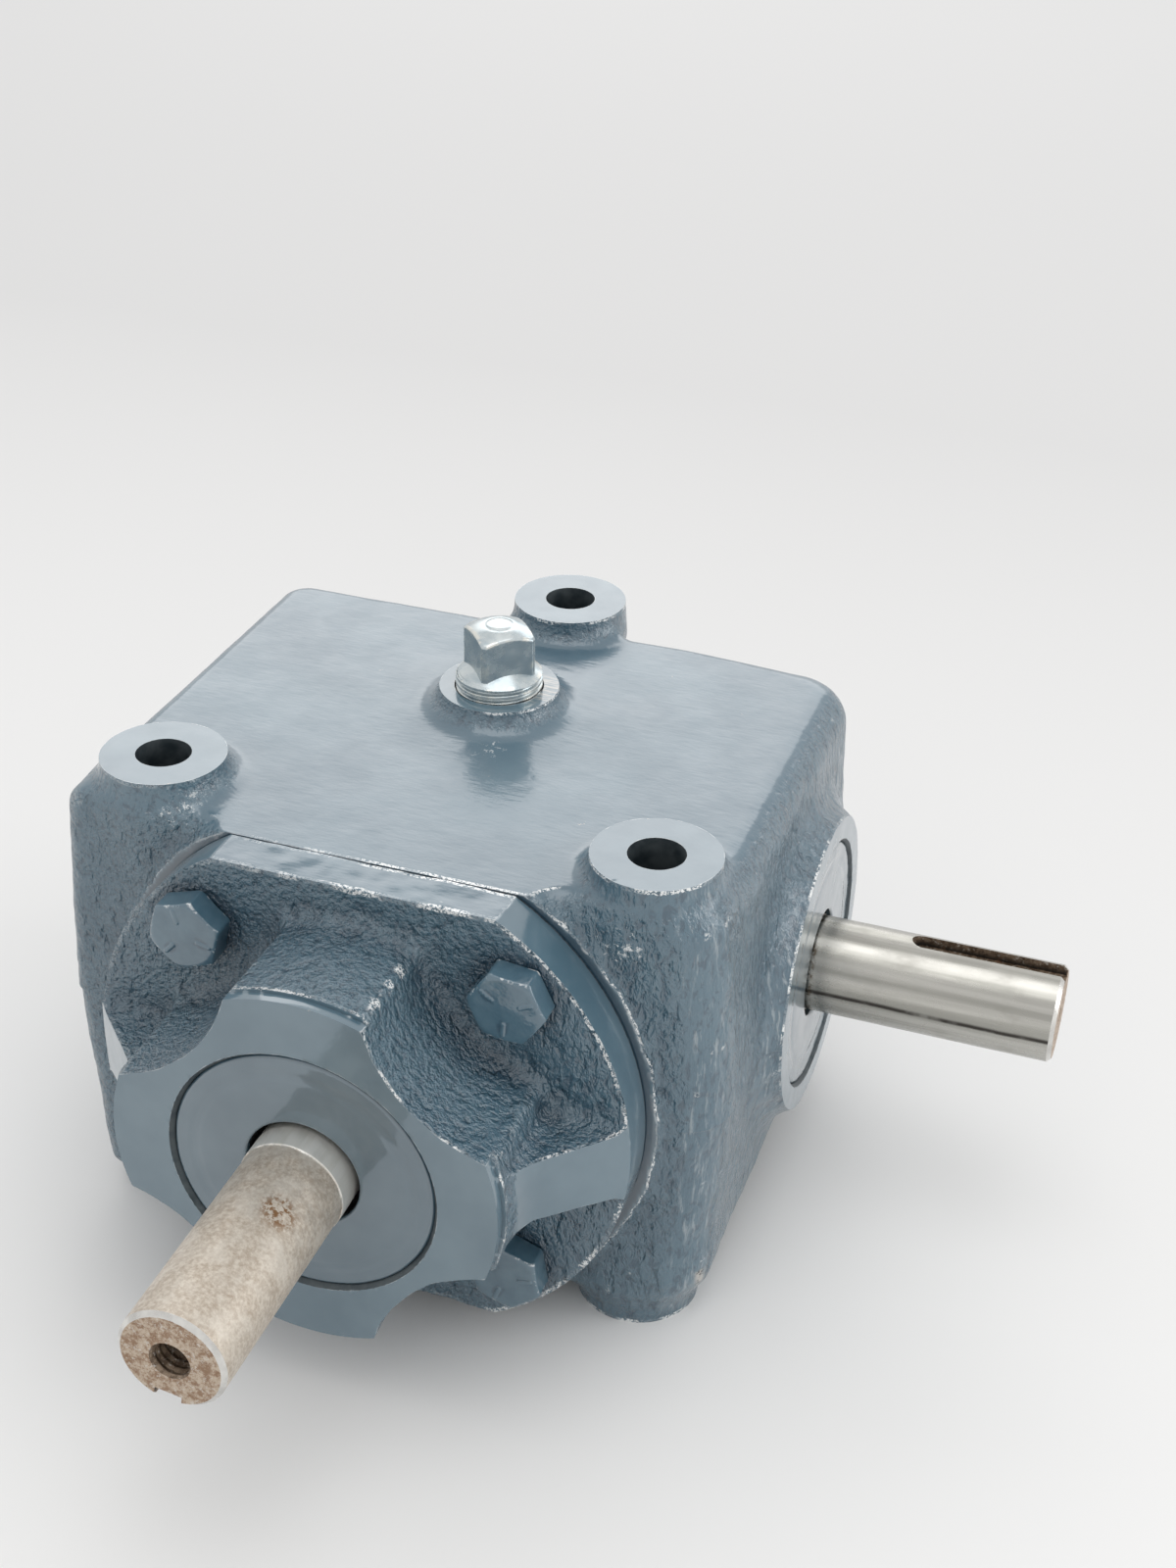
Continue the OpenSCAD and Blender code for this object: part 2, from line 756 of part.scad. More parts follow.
module input_shaft() {
    inner_end = gear_front - ring_t - 2.2;
    color(steel) along_input() difference() {
        union() {
            rotate([0, 0, seam_turn]) chamfered_bar(shaft_r, inner_end, input_reach);
            ring(shaft_r - 2, journal_r, outer_cone_back + ring_t + 0.6, input_journal_end);
        }
        rotate([0, 0, -90 - input_key_angle]) end_keyway(input_reach, input_keyway_l);
        rotate([0, 0, 90]) closed_keyway();
        ring_groove(outer_cone_back);
        ring_groove(gear_front - ring_t - 0.04);
        translate([0, 0, input_reach - end_hole_depth]) cylinder(r = end_hole_r, h = end_hole_depth + 1);
        translate([0, 0, input_reach - 0.4]) cylinder(r1 = end_hole_r, r2 = end_hole_r + 0.41, h = 0.41);
    }
}

module output_shaft() {
    blind_end = bearing_seat + cone_w + ring_t + 1.6;
    color(steel) along_output() difference() {
        union() {
            rotate([0, 0, seam_turn]) chamfered_bar(shaft_r, -blind_end, output_reach);
            ring(shaft_r - 2, journal_r, bearing_seat + cone_w + 0.6, output_journal_end);
        }
        rotate([0, 0, 180 - output_key_angle]) end_keyway(output_reach, output_keyway_l);
        mirror([0, 0, 1]) rotate([0, 0, 180]) closed_keyway();
        mirror([0, 0, 1]) ring_groove(bearing_seat + cone_w);
        translate([0, 0, output_reach - 5]) cylinder(r = 1.2, h = 10);
        translate([0, 0, output_reach - 2.2]) cylinder(r1 = 1.2, r2 = 2.6, h = 2.21);
    }
}

housing();
bearing_carrier();
carrier_gasket();
carrier_bolts();
filler_plug();
drain_plug();
input_seal_case();
input_seal_lip();
input_seal_spring();
output_seal_case();
output_seal_lip();
output_seal_spring();
blind_cap();
input_cup_outer();
input_cup_inner();
output_cup_drive();
output_cup_blind();
output_shim_drive();
output_shim_blind();
output_snap_ring_drive();
output_snap_ring_blind();
input_shaft();
bevel_pinion();
pinion_key();
pinion_ring();
input_cone_outer();
input_cone_inner();
input_spacer();
input_shaft_ring();
output_shaft();
bevel_gear();
gear_key();
output_spacer();
output_shaft_ring();
output_cone_drive();
output_cone_blind();
rollers_input_outer();
cage_input_outer();
rollers_input_inner();
cage_input_inner();
rollers_output_drive();
cage_output_drive();
rollers_output_blind();
cage_output_blind();
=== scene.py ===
"""Looks of the right angle bevel gearbox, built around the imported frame.

The castings, bolts and plug are solid fields in numpy, turned into meshes by dual
contouring, so that cast fillets stay soft and machined edges stay sharp.
Lengths inside the fields are millimetres, with z measured from the shaft axes.
"""

import math

import bpy
import numpy as np
from mathutils import Matrix, Vector


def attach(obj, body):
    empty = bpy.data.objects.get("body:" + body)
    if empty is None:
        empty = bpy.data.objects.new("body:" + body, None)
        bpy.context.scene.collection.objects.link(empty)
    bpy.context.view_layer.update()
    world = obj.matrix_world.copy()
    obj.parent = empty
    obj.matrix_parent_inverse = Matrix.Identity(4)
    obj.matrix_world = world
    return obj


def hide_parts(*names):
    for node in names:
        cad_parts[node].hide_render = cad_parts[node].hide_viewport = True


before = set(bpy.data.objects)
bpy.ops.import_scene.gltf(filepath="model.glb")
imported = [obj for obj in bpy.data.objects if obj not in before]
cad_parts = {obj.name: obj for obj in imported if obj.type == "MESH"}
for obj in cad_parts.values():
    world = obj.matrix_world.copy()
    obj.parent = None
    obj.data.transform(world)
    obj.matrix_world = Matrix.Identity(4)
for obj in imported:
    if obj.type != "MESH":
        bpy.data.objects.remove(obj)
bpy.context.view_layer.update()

MM = 0.001
AXIS_H = 49.2
SHAFT_R = 9.525
TOP = 44.45
SEAL_SEAT_R = 24.62
SEAL_SEAT_MOUTH = 0.8
BOLT_AT = 30.3
BOLT_SEAT = 70.0
HEAD_H = 5.36
FLANGE_R = 51.9
FLANGE_BACK = 61.8
THREAD_PITCH = 1.41
FOUR_WAYS = ((-1, -1), (-1, 1), (1, -1), (1, 1))
rng = np.random.default_rng(11)

# -------------------- camera

CAM_AZ, CAM_EL, CAM_ROLL = 18.5598, 30.7108, 1.43874
CAM_DIST, CAM_RIGHT, CAM_UP = 446.998, 18.421, 22.715
LENS = 49.495


def make_camera():
    az, el, roll = (math.radians(a) for a in (CAM_AZ, CAM_EL, CAM_ROLL))
    back = Vector((math.sin(az) * math.cos(el), -math.cos(az) * math.cos(el), math.sin(el)))
    right = Vector((0, 0, 1)).cross(back).normalized()
    up = back.cross(right)
    c, s = math.cos(roll), math.sin(roll)
    right, up = right * c + up * s, up * c - right * s
    place = back * CAM_DIST + right * CAM_RIGHT + up * CAM_UP + Vector((0, 0, AXIS_H))
    data = bpy.data.cameras.new("camera")
    data.lens = LENS
    data.sensor_width = 36
    data.clip_start = 0.01
    data.clip_end = 50
    cam = bpy.data.objects.new("camera", data)
    bpy.context.scene.collection.objects.link(cam)
    turn = Matrix((right, up, back)).transposed().to_4x4()
    cam.matrix_world = Matrix.Translation(place * MM) @ turn
    bpy.context.scene.camera = cam


make_camera()

# -------------------- fields

TABLE = rng.random((32, 32, 32)).astype(np.float32) * 2 - 1


def lattice(x, y, z, size):
    """Smooth noise from -1 to 1 with features about size mm across."""
    cell, frac = [], []
    for v in (x, y, z):
        q = v / size
        i = np.floor(q)
        f = (q - i).astype(np.float32)
        frac.append(f * f * (3 - 2 * f))
        cell.append(i.astype(np.int32))
    out = 0
    for a in (0, 1):
        wa = frac[0] if a else 1 - frac[0]
        ia = (cell[0] + a) & 31
        for b in (0, 1):
            wb = frac[1] if b else 1 - frac[1]
            ib = (cell[1] + b) & 31
            for c in (0, 1):
                wc = frac[2] if c else 1 - frac[2]
                out = out + wa * wb * wc * TABLE[ia, ib, (cell[2] + c) & 31]
    return out


def roughened(d, x, y, z, layers, band=2.5, calm=1.0):
    """Field d with its surface raised and lowered by layers of (height, size) noise, times calm."""
    d, x, y, z, calm = np.broadcast_arrays(d, x, y, z, calm)
    near = np.abs(d) < band
    out = np.array(d, dtype=np.float32)
    if near.any():
        px, py, pz = x[near], y[near], z[near]
        bump = 0
        for i, (height, size) in enumerate(layers):
            bump = bump + height * lattice(px + 37.1 * i, py + 11.3 * i, pz + 5.7 * i, size)
        out[near] -= bump * calm[near]
    return out


def blend_join(a, b, k):
    """Union with a concave fillet of about radius k."""
    h = np.maximum(k - np.abs(a - b), 0) / k
    return np.minimum(a, b) - h * h * k / 4


def blend_cut(a, b, k):
    """Intersection with a rounded edge of about radius k."""
    return -blend_join(-a, -b, k)


def round_cut(a, b, r):
    """Intersection with an edge of exactly radius r."""
    return np.minimum(np.maximum(a, b), -r) + np.hypot(np.maximum(a + r, 0), np.maximum(b + r, 0))


def ramp(v, lo, hi):
    """0 below lo, 1 above hi, smooth between."""
    t = np.clip((v - lo) / (hi - lo), 0, 1)
    return t * t * (3 - 2 * t)


def steps(lo, hi, coarse, fine=()):
    """Grid lines from lo to hi, with finer spacing inside each (from, to, step) range."""
    marks = [lo]
    while marks[-1] < hi:
        v = marks[-1]
        s = coarse
        for a, b, f in fine:
            if a - coarse / 2 <= v < b:
                s = f
        marks.append(v + s)
    return np.array(marks, dtype=np.float64)


# -------------------- contouring

SLAB = 24          # grid planes worked out at a time
NUDGE = 0.02       # mm to each side when a slope is taken
PULL = 0.04        # how strongly a vertex is held to the middle of its cell
ROOT_STEPS = 5     # false-position steps along each crossed grid edge
EASE = 0.6         # how much the end that stays is weakened at each step


def slope(solid, points):
    """Unit normals of the field at points."""
    grad = []
    for a in range(3):
        off = np.zeros(3)
        off[a] = NUDGE
        grad.append(solid(*(points + off).T) - solid(*(points - off).T))
    grad = np.stack(grad, 1).astype(np.float64)
    return grad / (np.linalg.norm(grad, axis=1, keepdims=True) + 1e-12)


def contour(solid, grid):
    """Vertices and quads of the surface where solid(x, y, z) is zero, with sharp edges kept."""
    xs, ys, zs = grid
    slabs = []
    for i in range(0, len(xs), SLAB):
        part = solid(xs[i:i + SLAB, None, None].astype(np.float32),
                     ys[None, :, None].astype(np.float32), zs[None, None, :].astype(np.float32))
        slabs.append(np.broadcast_to(part, (len(xs[i:i + SLAB]), len(ys), len(zs))))
    f = np.concatenate(slabs)
    inside = f < 0
    shape = f.shape
    points, normals, cells, flips = [], [], [], []
    for d in range(3):
        lo = [slice(1, -1)] * 3
        hi = [slice(1, -1)] * 3
        lo[d], hi[d] = slice(0, -1), slice(1, None)
        lo, hi = tuple(lo), tuple(hi)
        at = np.argwhere(inside[lo] != inside[hi])
        at += [0 if a == d else 1 for a in range(3)]
        end = at.copy()
        end[:, d] += 1
        p0 = np.stack([g[at[:, a]] for a, g in enumerate(grid)], 1)
        p1 = np.stack([g[end[:, a]] for a, g in enumerate(grid)], 1)
        f0 = f[tuple(at.T)].astype(np.float64)
        f1 = f[tuple(end.T)].astype(np.float64)
        flips.append(f0 < 0)
        for _ in range(ROOT_STEPS):
            t = np.clip(f0 / (f0 - f1 + 1e-12), 0.02, 0.98)
            pm = p0 + (p1 - p0) * t[:, None]
            fm = solid(*pm.T)
            low = (fm < 0) == (f0 < 0)
            p0 = np.where(low[:, None], pm, p0)
            f1 = np.where(low, f1 * EASE, fm)
            f0 = np.where(low, fm, f0 * EASE)
            p1 = np.where(low[:, None], p1, pm)
        t = np.clip(f0 / (f0 - f1 + 1e-12), 0, 1)
        pm = p0 + (p1 - p0) * t[:, None]
        points.append(pm)
        normals.append(slope(solid, pm))
        u, v = (d + 1) % 3, (d + 2) % 3
        ring = []
        for du, dv in ((-1, -1), (0, -1), (0, 0), (-1, 0)):
            c = at.copy()
            c[:, u] += du
            c[:, v] += dv
            ring.append(np.ravel_multi_index(c.T, shape))
        cells.append(np.stack(ring, 1))
    p, n, quads = np.concatenate(points), np.concatenate(normals), np.concatenate(cells)
    flip = np.concatenate(flips)
    keys, where = np.unique(quads.ravel(), return_inverse=True)
    quads = where.reshape(-1, 4)
    count = len(keys)
    flat = quads.ravel()

    def gather(v):
        return np.bincount(flat, weights=np.repeat(v, 4), minlength=count)

    total = gather(np.ones(len(p)))
    centre = np.stack([gather(p[:, a]) for a in range(3)], 1) / total[:, None]
    dot = np.sum(n * p, 1)
    ata = np.zeros((count, 3, 3))
    atb = np.zeros((count, 3))
    for a in range(3):
        atb[:, a] = gather(n[:, a] * dot)
        for b in range(a, 3):
            ata[:, a, b] = ata[:, b, a] = gather(n[:, a] * n[:, b])
    rhs = atb - np.einsum("nij,nj->ni", ata, centre)
    ata += np.eye(3) * (PULL * total)[:, None, None]
    verts = centre + np.linalg.solve(ata, rhs[:, :, None])[:, :, 0]
    corner = np.stack(np.unravel_index(keys, shape), 1)
    for a, g in enumerate(grid):
        low, high = g[corner[:, a]], g[np.minimum(corner[:, a] + 1, len(g) - 1)]
        verts[:, a] = np.clip(verts[:, a], low, high)
    quads[flip] = quads[flip][:, ::-1]
    return verts, quads[:, ::-1]


REACH = 0.9        # mm over which bending is measured
FAR = 20.0         # mm, the most that "rim" says
ROOM = ((1.5, 0.25), (4.0, 0.35), (9.0, 0.4))      # mm looked outward, and each one's share of "hollow"
CREASE = math.cos(math.radians(14))
INWARD = 0.3
SHARP = math.radians(38)


def shape(surfaces, grid, exact=False, around=None):
    """The surface of a piece, from a function that gives one field for each material.

    The solid is where every field is below zero. Each face takes the material of the
    field that bounds it. Each vertex keeps its distance to the next surface as "rim",
    how sharply the surface bends there as "crest", and how shut in it is as "hollow",
    between its own walls and those of the field around. exact takes the shading normals
    from the fields themselves.
    """
    def solid(x, y, z):
        out = None
        for v in surfaces(x, y, z):
            out = v if out is None else np.maximum(out, v)
        return out

    verts, quads = contour(solid, grid)
    values = np.stack([np.broadcast_to(v, len(verts)) for v in surfaces(*verts.T)])
    values.sort(axis=0)
    rim = np.clip(-values[-2], 0, FAR) if len(values) > 1 else np.full(len(verts), FAR)
    crest = -6 * solid(*verts.T).astype(np.float64)
    for a in range(3):
        off = np.zeros(3)
        off[a] = REACH
        crest += solid(*(verts + off).T) + solid(*(verts - off).T)
    crest /= REACH * REACH
    out = slope(solid, verts)
    hollow = np.zeros(len(verts))
    for far, share in ROOM:
        at = verts + out * far
        room = solid(*at.T)
        if around is not None:
            room = np.minimum(room, around(*at.T))
        hollow += share * np.clip(1 - room / far, 0, 1)
    mid = verts[quads].mean(axis=1)
    at_mid = np.stack([np.broadcast_to(v, len(mid)) for v in surfaces(*mid.T)])
    normals = None
    if exact:
        corners = verts[quads]
        inward = (corners * (1 - INWARD) + mid[:, None, :] * INWARD).reshape(-1, 3)
        at_corner = slope(solid, verts)[quads].reshape(-1, 3)
        at_inward = slope(solid, inward)
        crossed = np.sum(at_corner * at_inward, axis=1) < CREASE
        normals = np.where(crossed[:, None], at_inward, at_corner)
    marks = {"rim": rim, "crest": crest, "hollow": hollow}
    return verts, quads, marks, np.argmax(at_mid, axis=0), normals


def piece(name, form, materials, body, nodes, turn=None, move=(0, 0, AXIS_H)):
    """An object made from a shape, turned and moved into place, standing for CAD nodes."""
    verts, quads, marks, bound, normals = form
    if turn is not None:
        turn = np.array(turn, dtype=np.float64)
        verts = verts @ turn.T
        normals = None if normals is None else normals @ turn.T
    verts = verts + np.array(move)
    me = bpy.data.meshes.new(name)
    me.vertices.add(len(verts))
    me.loops.add(quads.size)
    me.polygons.add(len(quads))
    me.vertices.foreach_set("co", (verts * MM).astype(np.float32).ravel())
    me.loops.foreach_set("vertex_index", quads.astype(np.int32).ravel())
    me.polygons.foreach_set("loop_start", np.arange(0, quads.size, 4, dtype=np.int32))
    me.polygons.foreach_set("material_index", bound.astype(np.int32))
    me.update(calc_edges=True)
    for key, values in marks.items():
        layer = me.attributes.new(key, "FLOAT", "POINT")
        layer.data.foreach_set("value", values.astype(np.float32))
    me.polygons.foreach_set("use_smooth", np.ones(len(me.polygons), dtype=bool))
    me.set_sharp_from_angle(angle=SHARP)
    if normals is not None:
        me.normals_split_custom_set(normals.astype(np.float32))
    for m in materials:
        me.materials.append(m)
    obj = bpy.data.objects.new(name, me)
    bpy.context.scene.collection.objects.link(obj)
    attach(obj, body)
    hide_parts(*nodes)


# -------------------- materials


class Look:
    """A material being built: every method adds a node and returns its output."""

    def __init__(self, name, metallic=0.0, coat=0.0, coat_rough=0.1, specular=0.5, coat_ior=1.5):
        self.mat = bpy.data.materials.new(name)
        self.mat.use_nodes = True
        self.tree = self.mat.node_tree
        self.nodes = self.tree.nodes
        self.bsdf = self.nodes["Principled BSDF"]
        self.bsdf.inputs["Metallic"].default_value = metallic
        self.bsdf.inputs["Coat Weight"].default_value = coat
        self.bsdf.inputs["Coat Roughness"].default_value = coat_rough
        self.bsdf.inputs["Coat IOR"].default_value = coat_ior
        self.bsdf.inputs["Specular IOR Level"].default_value = specular
        self.where = self.nodes.new("ShaderNodeTexCoord").outputs["Object"]

    def add(self, kind, inputs, **settings):
        """A node of this kind, its inputs linked or set."""
        node = self.nodes.new(kind)
        for key, value in settings.items():
            setattr(node, key, value)
        for key, value in inputs.items():
            if isinstance(value, bpy.types.NodeSocket):
                self.tree.links.new(value, node.inputs[key])
            else:
                node.inputs[key].default_value = value
        return node

    def spread(self, scale, turn=(0, 0, 0)):
        """Object coordinates times scale, turned."""
        node = self.add("ShaderNodeMapping", {"Vector": self.where, "Rotation": turn, "Scale": scale})
        return node.outputs[0]

    def noise(self, size, detail=3.0, rough=0.55, vector=None, distort=0.0):
        """Noise with features about size mm across."""
        node = self.add("ShaderNodeTexNoise", {
            "Vector": vector or self.where, "Scale": 1 / (size * MM) if vector is None else 1.0,
            "Detail": detail, "Roughness": rough, "Distortion": distort})
        return node.outputs["Fac"]

    def span(self, value, lo, hi, to_lo=0.0, to_hi=1.0, smooth=True):
        """value taken from lo..hi to to_lo..to_hi, and held at both ends."""
        node = self.add("ShaderNodeMapRange", {
            "Value": value, "From Min": lo, "From Max": hi, "To Min": to_lo, "To Max": to_hi},
            interpolation_type="SMOOTHSTEP" if smooth else "LINEAR")
        return node.outputs[0]

    def math(self, how, a, b):
        """One sum or product of two numbers."""
        node = self.add("ShaderNodeMath", {0: a, 1: b}, operation=how)
        return node.outputs[0]

    def mix(self, fac, a, b):
        """Colour a where fac is 0 and b where it is 1."""
        node = self.nodes.new("ShaderNodeMix")
        node.data_type = "RGBA"
        for key, value in ((0, fac), (6, a), (7, b)):
            if isinstance(value, bpy.types.NodeSocket):
                self.tree.links.new(value, node.inputs[key])
            else:
                node.inputs[key].default_value = (*value, 1) if isinstance(value, tuple) else value
        return node.outputs[2]

    def mix_value(self, fac, a, b):
        """Number a where fac is 0 and b where it is 1."""
        node = self.nodes.new("ShaderNodeMix")
        for key, value in ((0, fac), (2, a), (3, b)):
            self.tree.links.new(value, node.inputs[key])
        return node.outputs[0]

    def axis(self, which):
        """One coordinate of the surface point, in metres."""
        node = self.add("ShaderNodeSeparateXYZ", {0: self.where})
        return node.outputs[which]

    def facing(self, which):
        """One part of the surface's own normal."""
        geo = self.nodes.new("ShaderNodeNewGeometry")
        node = self.add("ShaderNodeSeparateXYZ", {0: geo.outputs["Normal"]})
        return node.outputs[which]

    def rim(self):
        """Distance to the next machined or cast edge, in mm."""
        return self.add("ShaderNodeAttribute", {}, attribute_name="rim").outputs["Fac"]

    def crest(self):
        """How sharply the piece bends outward here, negative in hollows."""
        return self.add("ShaderNodeAttribute", {}, attribute_name="crest").outputs["Fac"]

    def hollow(self):
        """How shut in the surface is here, 0 in the open."""
        return self.add("ShaderNodeAttribute", {}, attribute_name="hollow").outputs["Fac"]

    def near(self, place, inner, outer):
        """1 within inner metres of a place, 0 beyond outer."""
        node = self.add("ShaderNodeVectorMath", {0: self.where, 1: place}, operation="DISTANCE")
        return self.span(node.outputs["Value"], inner, outer, 1, 0)

    def blend(self, fac, a, b):
        """Normal a where fac is 0 and b where it is 1."""
        node = self.nodes.new("ShaderNodeMix")
        node.data_type = "VECTOR"
        for key, value in ((0, fac), (4, a), (5, b)):
            self.tree.links.new(value, node.inputs[key])
        return node.outputs[1]

    def bump(self, height, distance, strength):
        """A normal tilted by height, which is distance mm deep."""
        inputs = {"Height": height, "Distance": distance * MM, "Strength": strength}
        return self.add("ShaderNodeBump", inputs).outputs[0]

    def finish(self, colour, roughness, normal=None):
        """The material, with its colour, roughness and normal in place."""
        for key, value in (("Base Color", colour), ("Roughness", roughness), ("Normal", normal)):
            if value is None:
                continue
            if isinstance(value, bpy.types.NodeSocket):
                self.tree.links.new(value, self.bsdf.inputs[key])
                if key == "Normal" and self.bsdf.inputs["Coat Weight"].default_value > 0:
                    self.tree.links.new(value, self.bsdf.inputs["Coat Normal"])
            else:
                self.bsdf.inputs[key].default_value = (*value, 1) if isinstance(value, tuple) else value
        return self.mat


PAINT = (0.036, 0.094, 0.138)
# dark paint of the grain and specks, also used as painted shade in creases
PAINT_DARK_AND_SHADE = (0.014, 0.05, 0.084)
PAINT_PALE = (0.06, 0.128, 0.174)
# painted shade in shut-in places, also the dark pits on the top face
PAINT_SHADE_AND_PITS = (0.008, 0.034, 0.062)
# white of the painted highlights on edges, crests and glints
HIGHLIGHT_WHITE = (0.78, 0.8, 0.8)
BEIGE = (0.5, 0.42, 0.33)
RUST = (0.17, 0.075, 0.035)
# pale of the painted reflection streaks on the front-right corner
SHEEN_STREAK = (0.4, 0.44, 0.455)
BARE_IRON = (0.42, 0.4, 0.37)
BARE_BOSS = (0.42, 0.4, 0.36)
SAND_PIT = (0.02, 0.02, 0.02)
RUB_PLACE = (0.0085, 0.001, 0.0984)
RUST_PLACE = (0.005, -0.1113, 0.0573)
JOINT_LOW, JOINT_HIGH = 0.048, 0.05
TOP_FACE = 0.0925


# places in mm where bright specks are painted on as highlights, with their reach
GLINTS = ((-40.5, -56.5, 44.0, 7), (4.5, -18.0, 44.6, 5), (60.0, -60.0, 46.0, 6),
          (66.0, -26.0, -3.0, 9), (64.5, -24.0, 12.0, 6), (46.0, -60.0, 38.0, 7))


def sparkle(k):
    """Painted highlight: broken bright specks in a band where a casting's edge turns over on the lit side,
    and at a few given places.
    """
    band = k.span(k.math("ADD", k.crest(), k.math("MULTIPLY", k.noise(1.6, 3, 0.6), 0.5)), 0.52, 0.74)
    off_joint = k.math("MAXIMUM", k.span(k.axis(2), JOINT_LOW, JOINT_LOW - MM),
                       k.span(k.axis(2), JOINT_HIGH, JOINT_HIGH + MM))
    band = k.math("MULTIPLY", band, off_joint)
    along = k.span(k.noise(8, 3, 0.6), 0.44, 0.54, 0.12, 1)
    specks = k.span(k.noise(0.62, 2, 0.85), 0.46, 0.52)
    lit = k.span(k.axis(0), -0.035, 0.012, 0.2, 1)
    lit = k.math("MULTIPLY", lit, k.span(k.facing(2), -0.5, 0.0))
    edge = k.math("MULTIPLY", k.math("MULTIPLY", band, specks), k.math("MULTIPLY", along, lit))
    places = 0.0
    for x, y, z, reach in GLINTS:
        spot = k.near((x * MM, y * MM, (z + AXIS_H) * MM), 0.2 * reach * MM, reach * MM)
        places = k.math("MAXIMUM", places, spot)
    few = k.span(k.math("ADD", k.noise(1.7, 5, 0.8), k.math("MULTIPLY", places, 0.08)), 0.63, 0.67, 0, 0.8)
    return k.math("MAXIMUM", edge, k.math("MULTIPLY", places, few))


def cast_paint():
    """Glossy enamel over sand-cast iron: coarse grain on the sides, softer on top."""
    k = Look("paint_cast", coat=1.0, coat_rough=0.15, coat_ior=1.75)
    top = k.math("MULTIPLY", k.span(k.facing(2), 0.7, 0.94), k.span(k.axis(2), TOP_FACE - 2 * MM, TOP_FACE))
    leaning = k.spread((720, 720, 380), turn=(0, math.radians(20), 0))
    long_grain = k.noise(1, 3, 0.6, vector=leaning, distort=0.5)
    round_grain = k.noise(1.15, 3, 0.6)
    right = k.span(k.axis(0), 0.02, 0.045)
    grain = k.math("ADD", k.math("MULTIPLY", long_grain, right),
                   k.math("MULTIPLY", round_grain, k.math("SUBTRACT", 1.0, right)))
    leaning = k.spread((430, 430, 210), turn=(0, math.radians(-14), 0))
    pits = k.span(k.noise(1, 3, 0.55, vector=leaning), 0.3, 0.5)
    colour = k.mix(k.span(k.noise(26, 3), 0.3, 0.7), PAINT, PAINT_PALE)
    colour = k.mix(k.span(grain, 0.36, 0.5, 0.75, 0), colour, PAINT_DARK_AND_SHADE)
    # painted shade in concave creases
    colour = k.mix(k.math("MULTIPLY", k.span(k.crest(), -0.12, -0.5), 0.6), colour, PAINT_DARK_AND_SHADE)
    flat = k.mix(k.span(k.noise(30, 4), 0.3, 0.7), PAINT, PAINT_PALE)
    colour = k.mix(top, colour, flat)
    # painted shade, darker where the surface is shut in
    colour = k.mix(k.span(k.hollow(), 0.2, 0.75, 0, 0.85), colour, PAINT_SHADE_AND_PITS)
    calmer = k.span(k.axis(2), TOP_FACE, TOP_FACE + 2 * MM, 1, 0.4)
    side_height = k.math("MULTIPLY", k.math("ADD", grain, k.math("MULTIPLY", pits, 0.4)), calmer)
    scratches = k.noise(1, 2, 0.5, vector=k.spread((160, 1500, 1500)))
    waves = k.noise(1, 3, 0.55, vector=k.spread((330, 700, 700)))
    waves = k.math("ADD", waves, k.math("MULTIPLY", scratches, 0.3))
    corner = k.math("MULTIPLY", k.span(k.facing(0), 0.3, 0.5), k.span(k.facing(1), -0.25, -0.45))
    corner = k.math("MULTIPLY", corner, k.span(k.axis(0), 0.053, 0.058))
    streaks = k.noise(1, 4, 0.65, vector=k.spread((900, 900, 130)))
    side_height = k.mix_value(k.math("MULTIPLY", corner, 0.75), side_height,
                              k.math("MULTIPLY", streaks, 0.35))
    normal = k.blend(top, k.bump(side_height, 1.05, 1.0), k.bump(waves, 0.14, 0.5))
    # painted reflection: pale vertical streaks on the front-right corner, where it catches the lamps
    painted_sheen = k.math("MULTIPLY", corner, k.span(streaks, 0.52, 0.7, 0.0, 0.5))
    colour = k.mix(painted_sheen, colour, SHEEN_STREAK)
    # painted highlight: bright specks along lit cast edges and at the glint places
    colour = k.mix(sparkle(k), colour, HIGHLIGHT_WHITE)
    bare = k.math("MULTIPLY", k.span(k.axis(0), 0.0605, 0.0615), k.span(k.axis(2), 0.0135, 0.0125))
    bare = k.math("MULTIPLY", bare, corner)
    iron = k.mix(k.span(k.noise(1.3, 4, 0.75), 0.52, 0.58), BARE_IRON, SAND_PIT)
    colour = k.mix(bare, colour, iron)
    scuff = k.span(k.noise(14, 6, 0.75), 0.68, 0.72, 0, 0.7)
    scuff = k.math("MULTIPLY", scuff, k.span(round_grain, 0.46, 0.56))
    colour = k.mix(scuff, colour, BEIGE)
    pocks = k.math("MULTIPLY", top, k.span(k.noise(2.4, 4, 0.75), 0.735, 0.75, 0, 0.8))
    colour = k.mix(pocks, colour, PAINT_SHADE_AND_PITS)
    return k.finish(colour, k.span(k.noise(9, 3), 0.3, 0.7, 0.36, 0.5), normal)


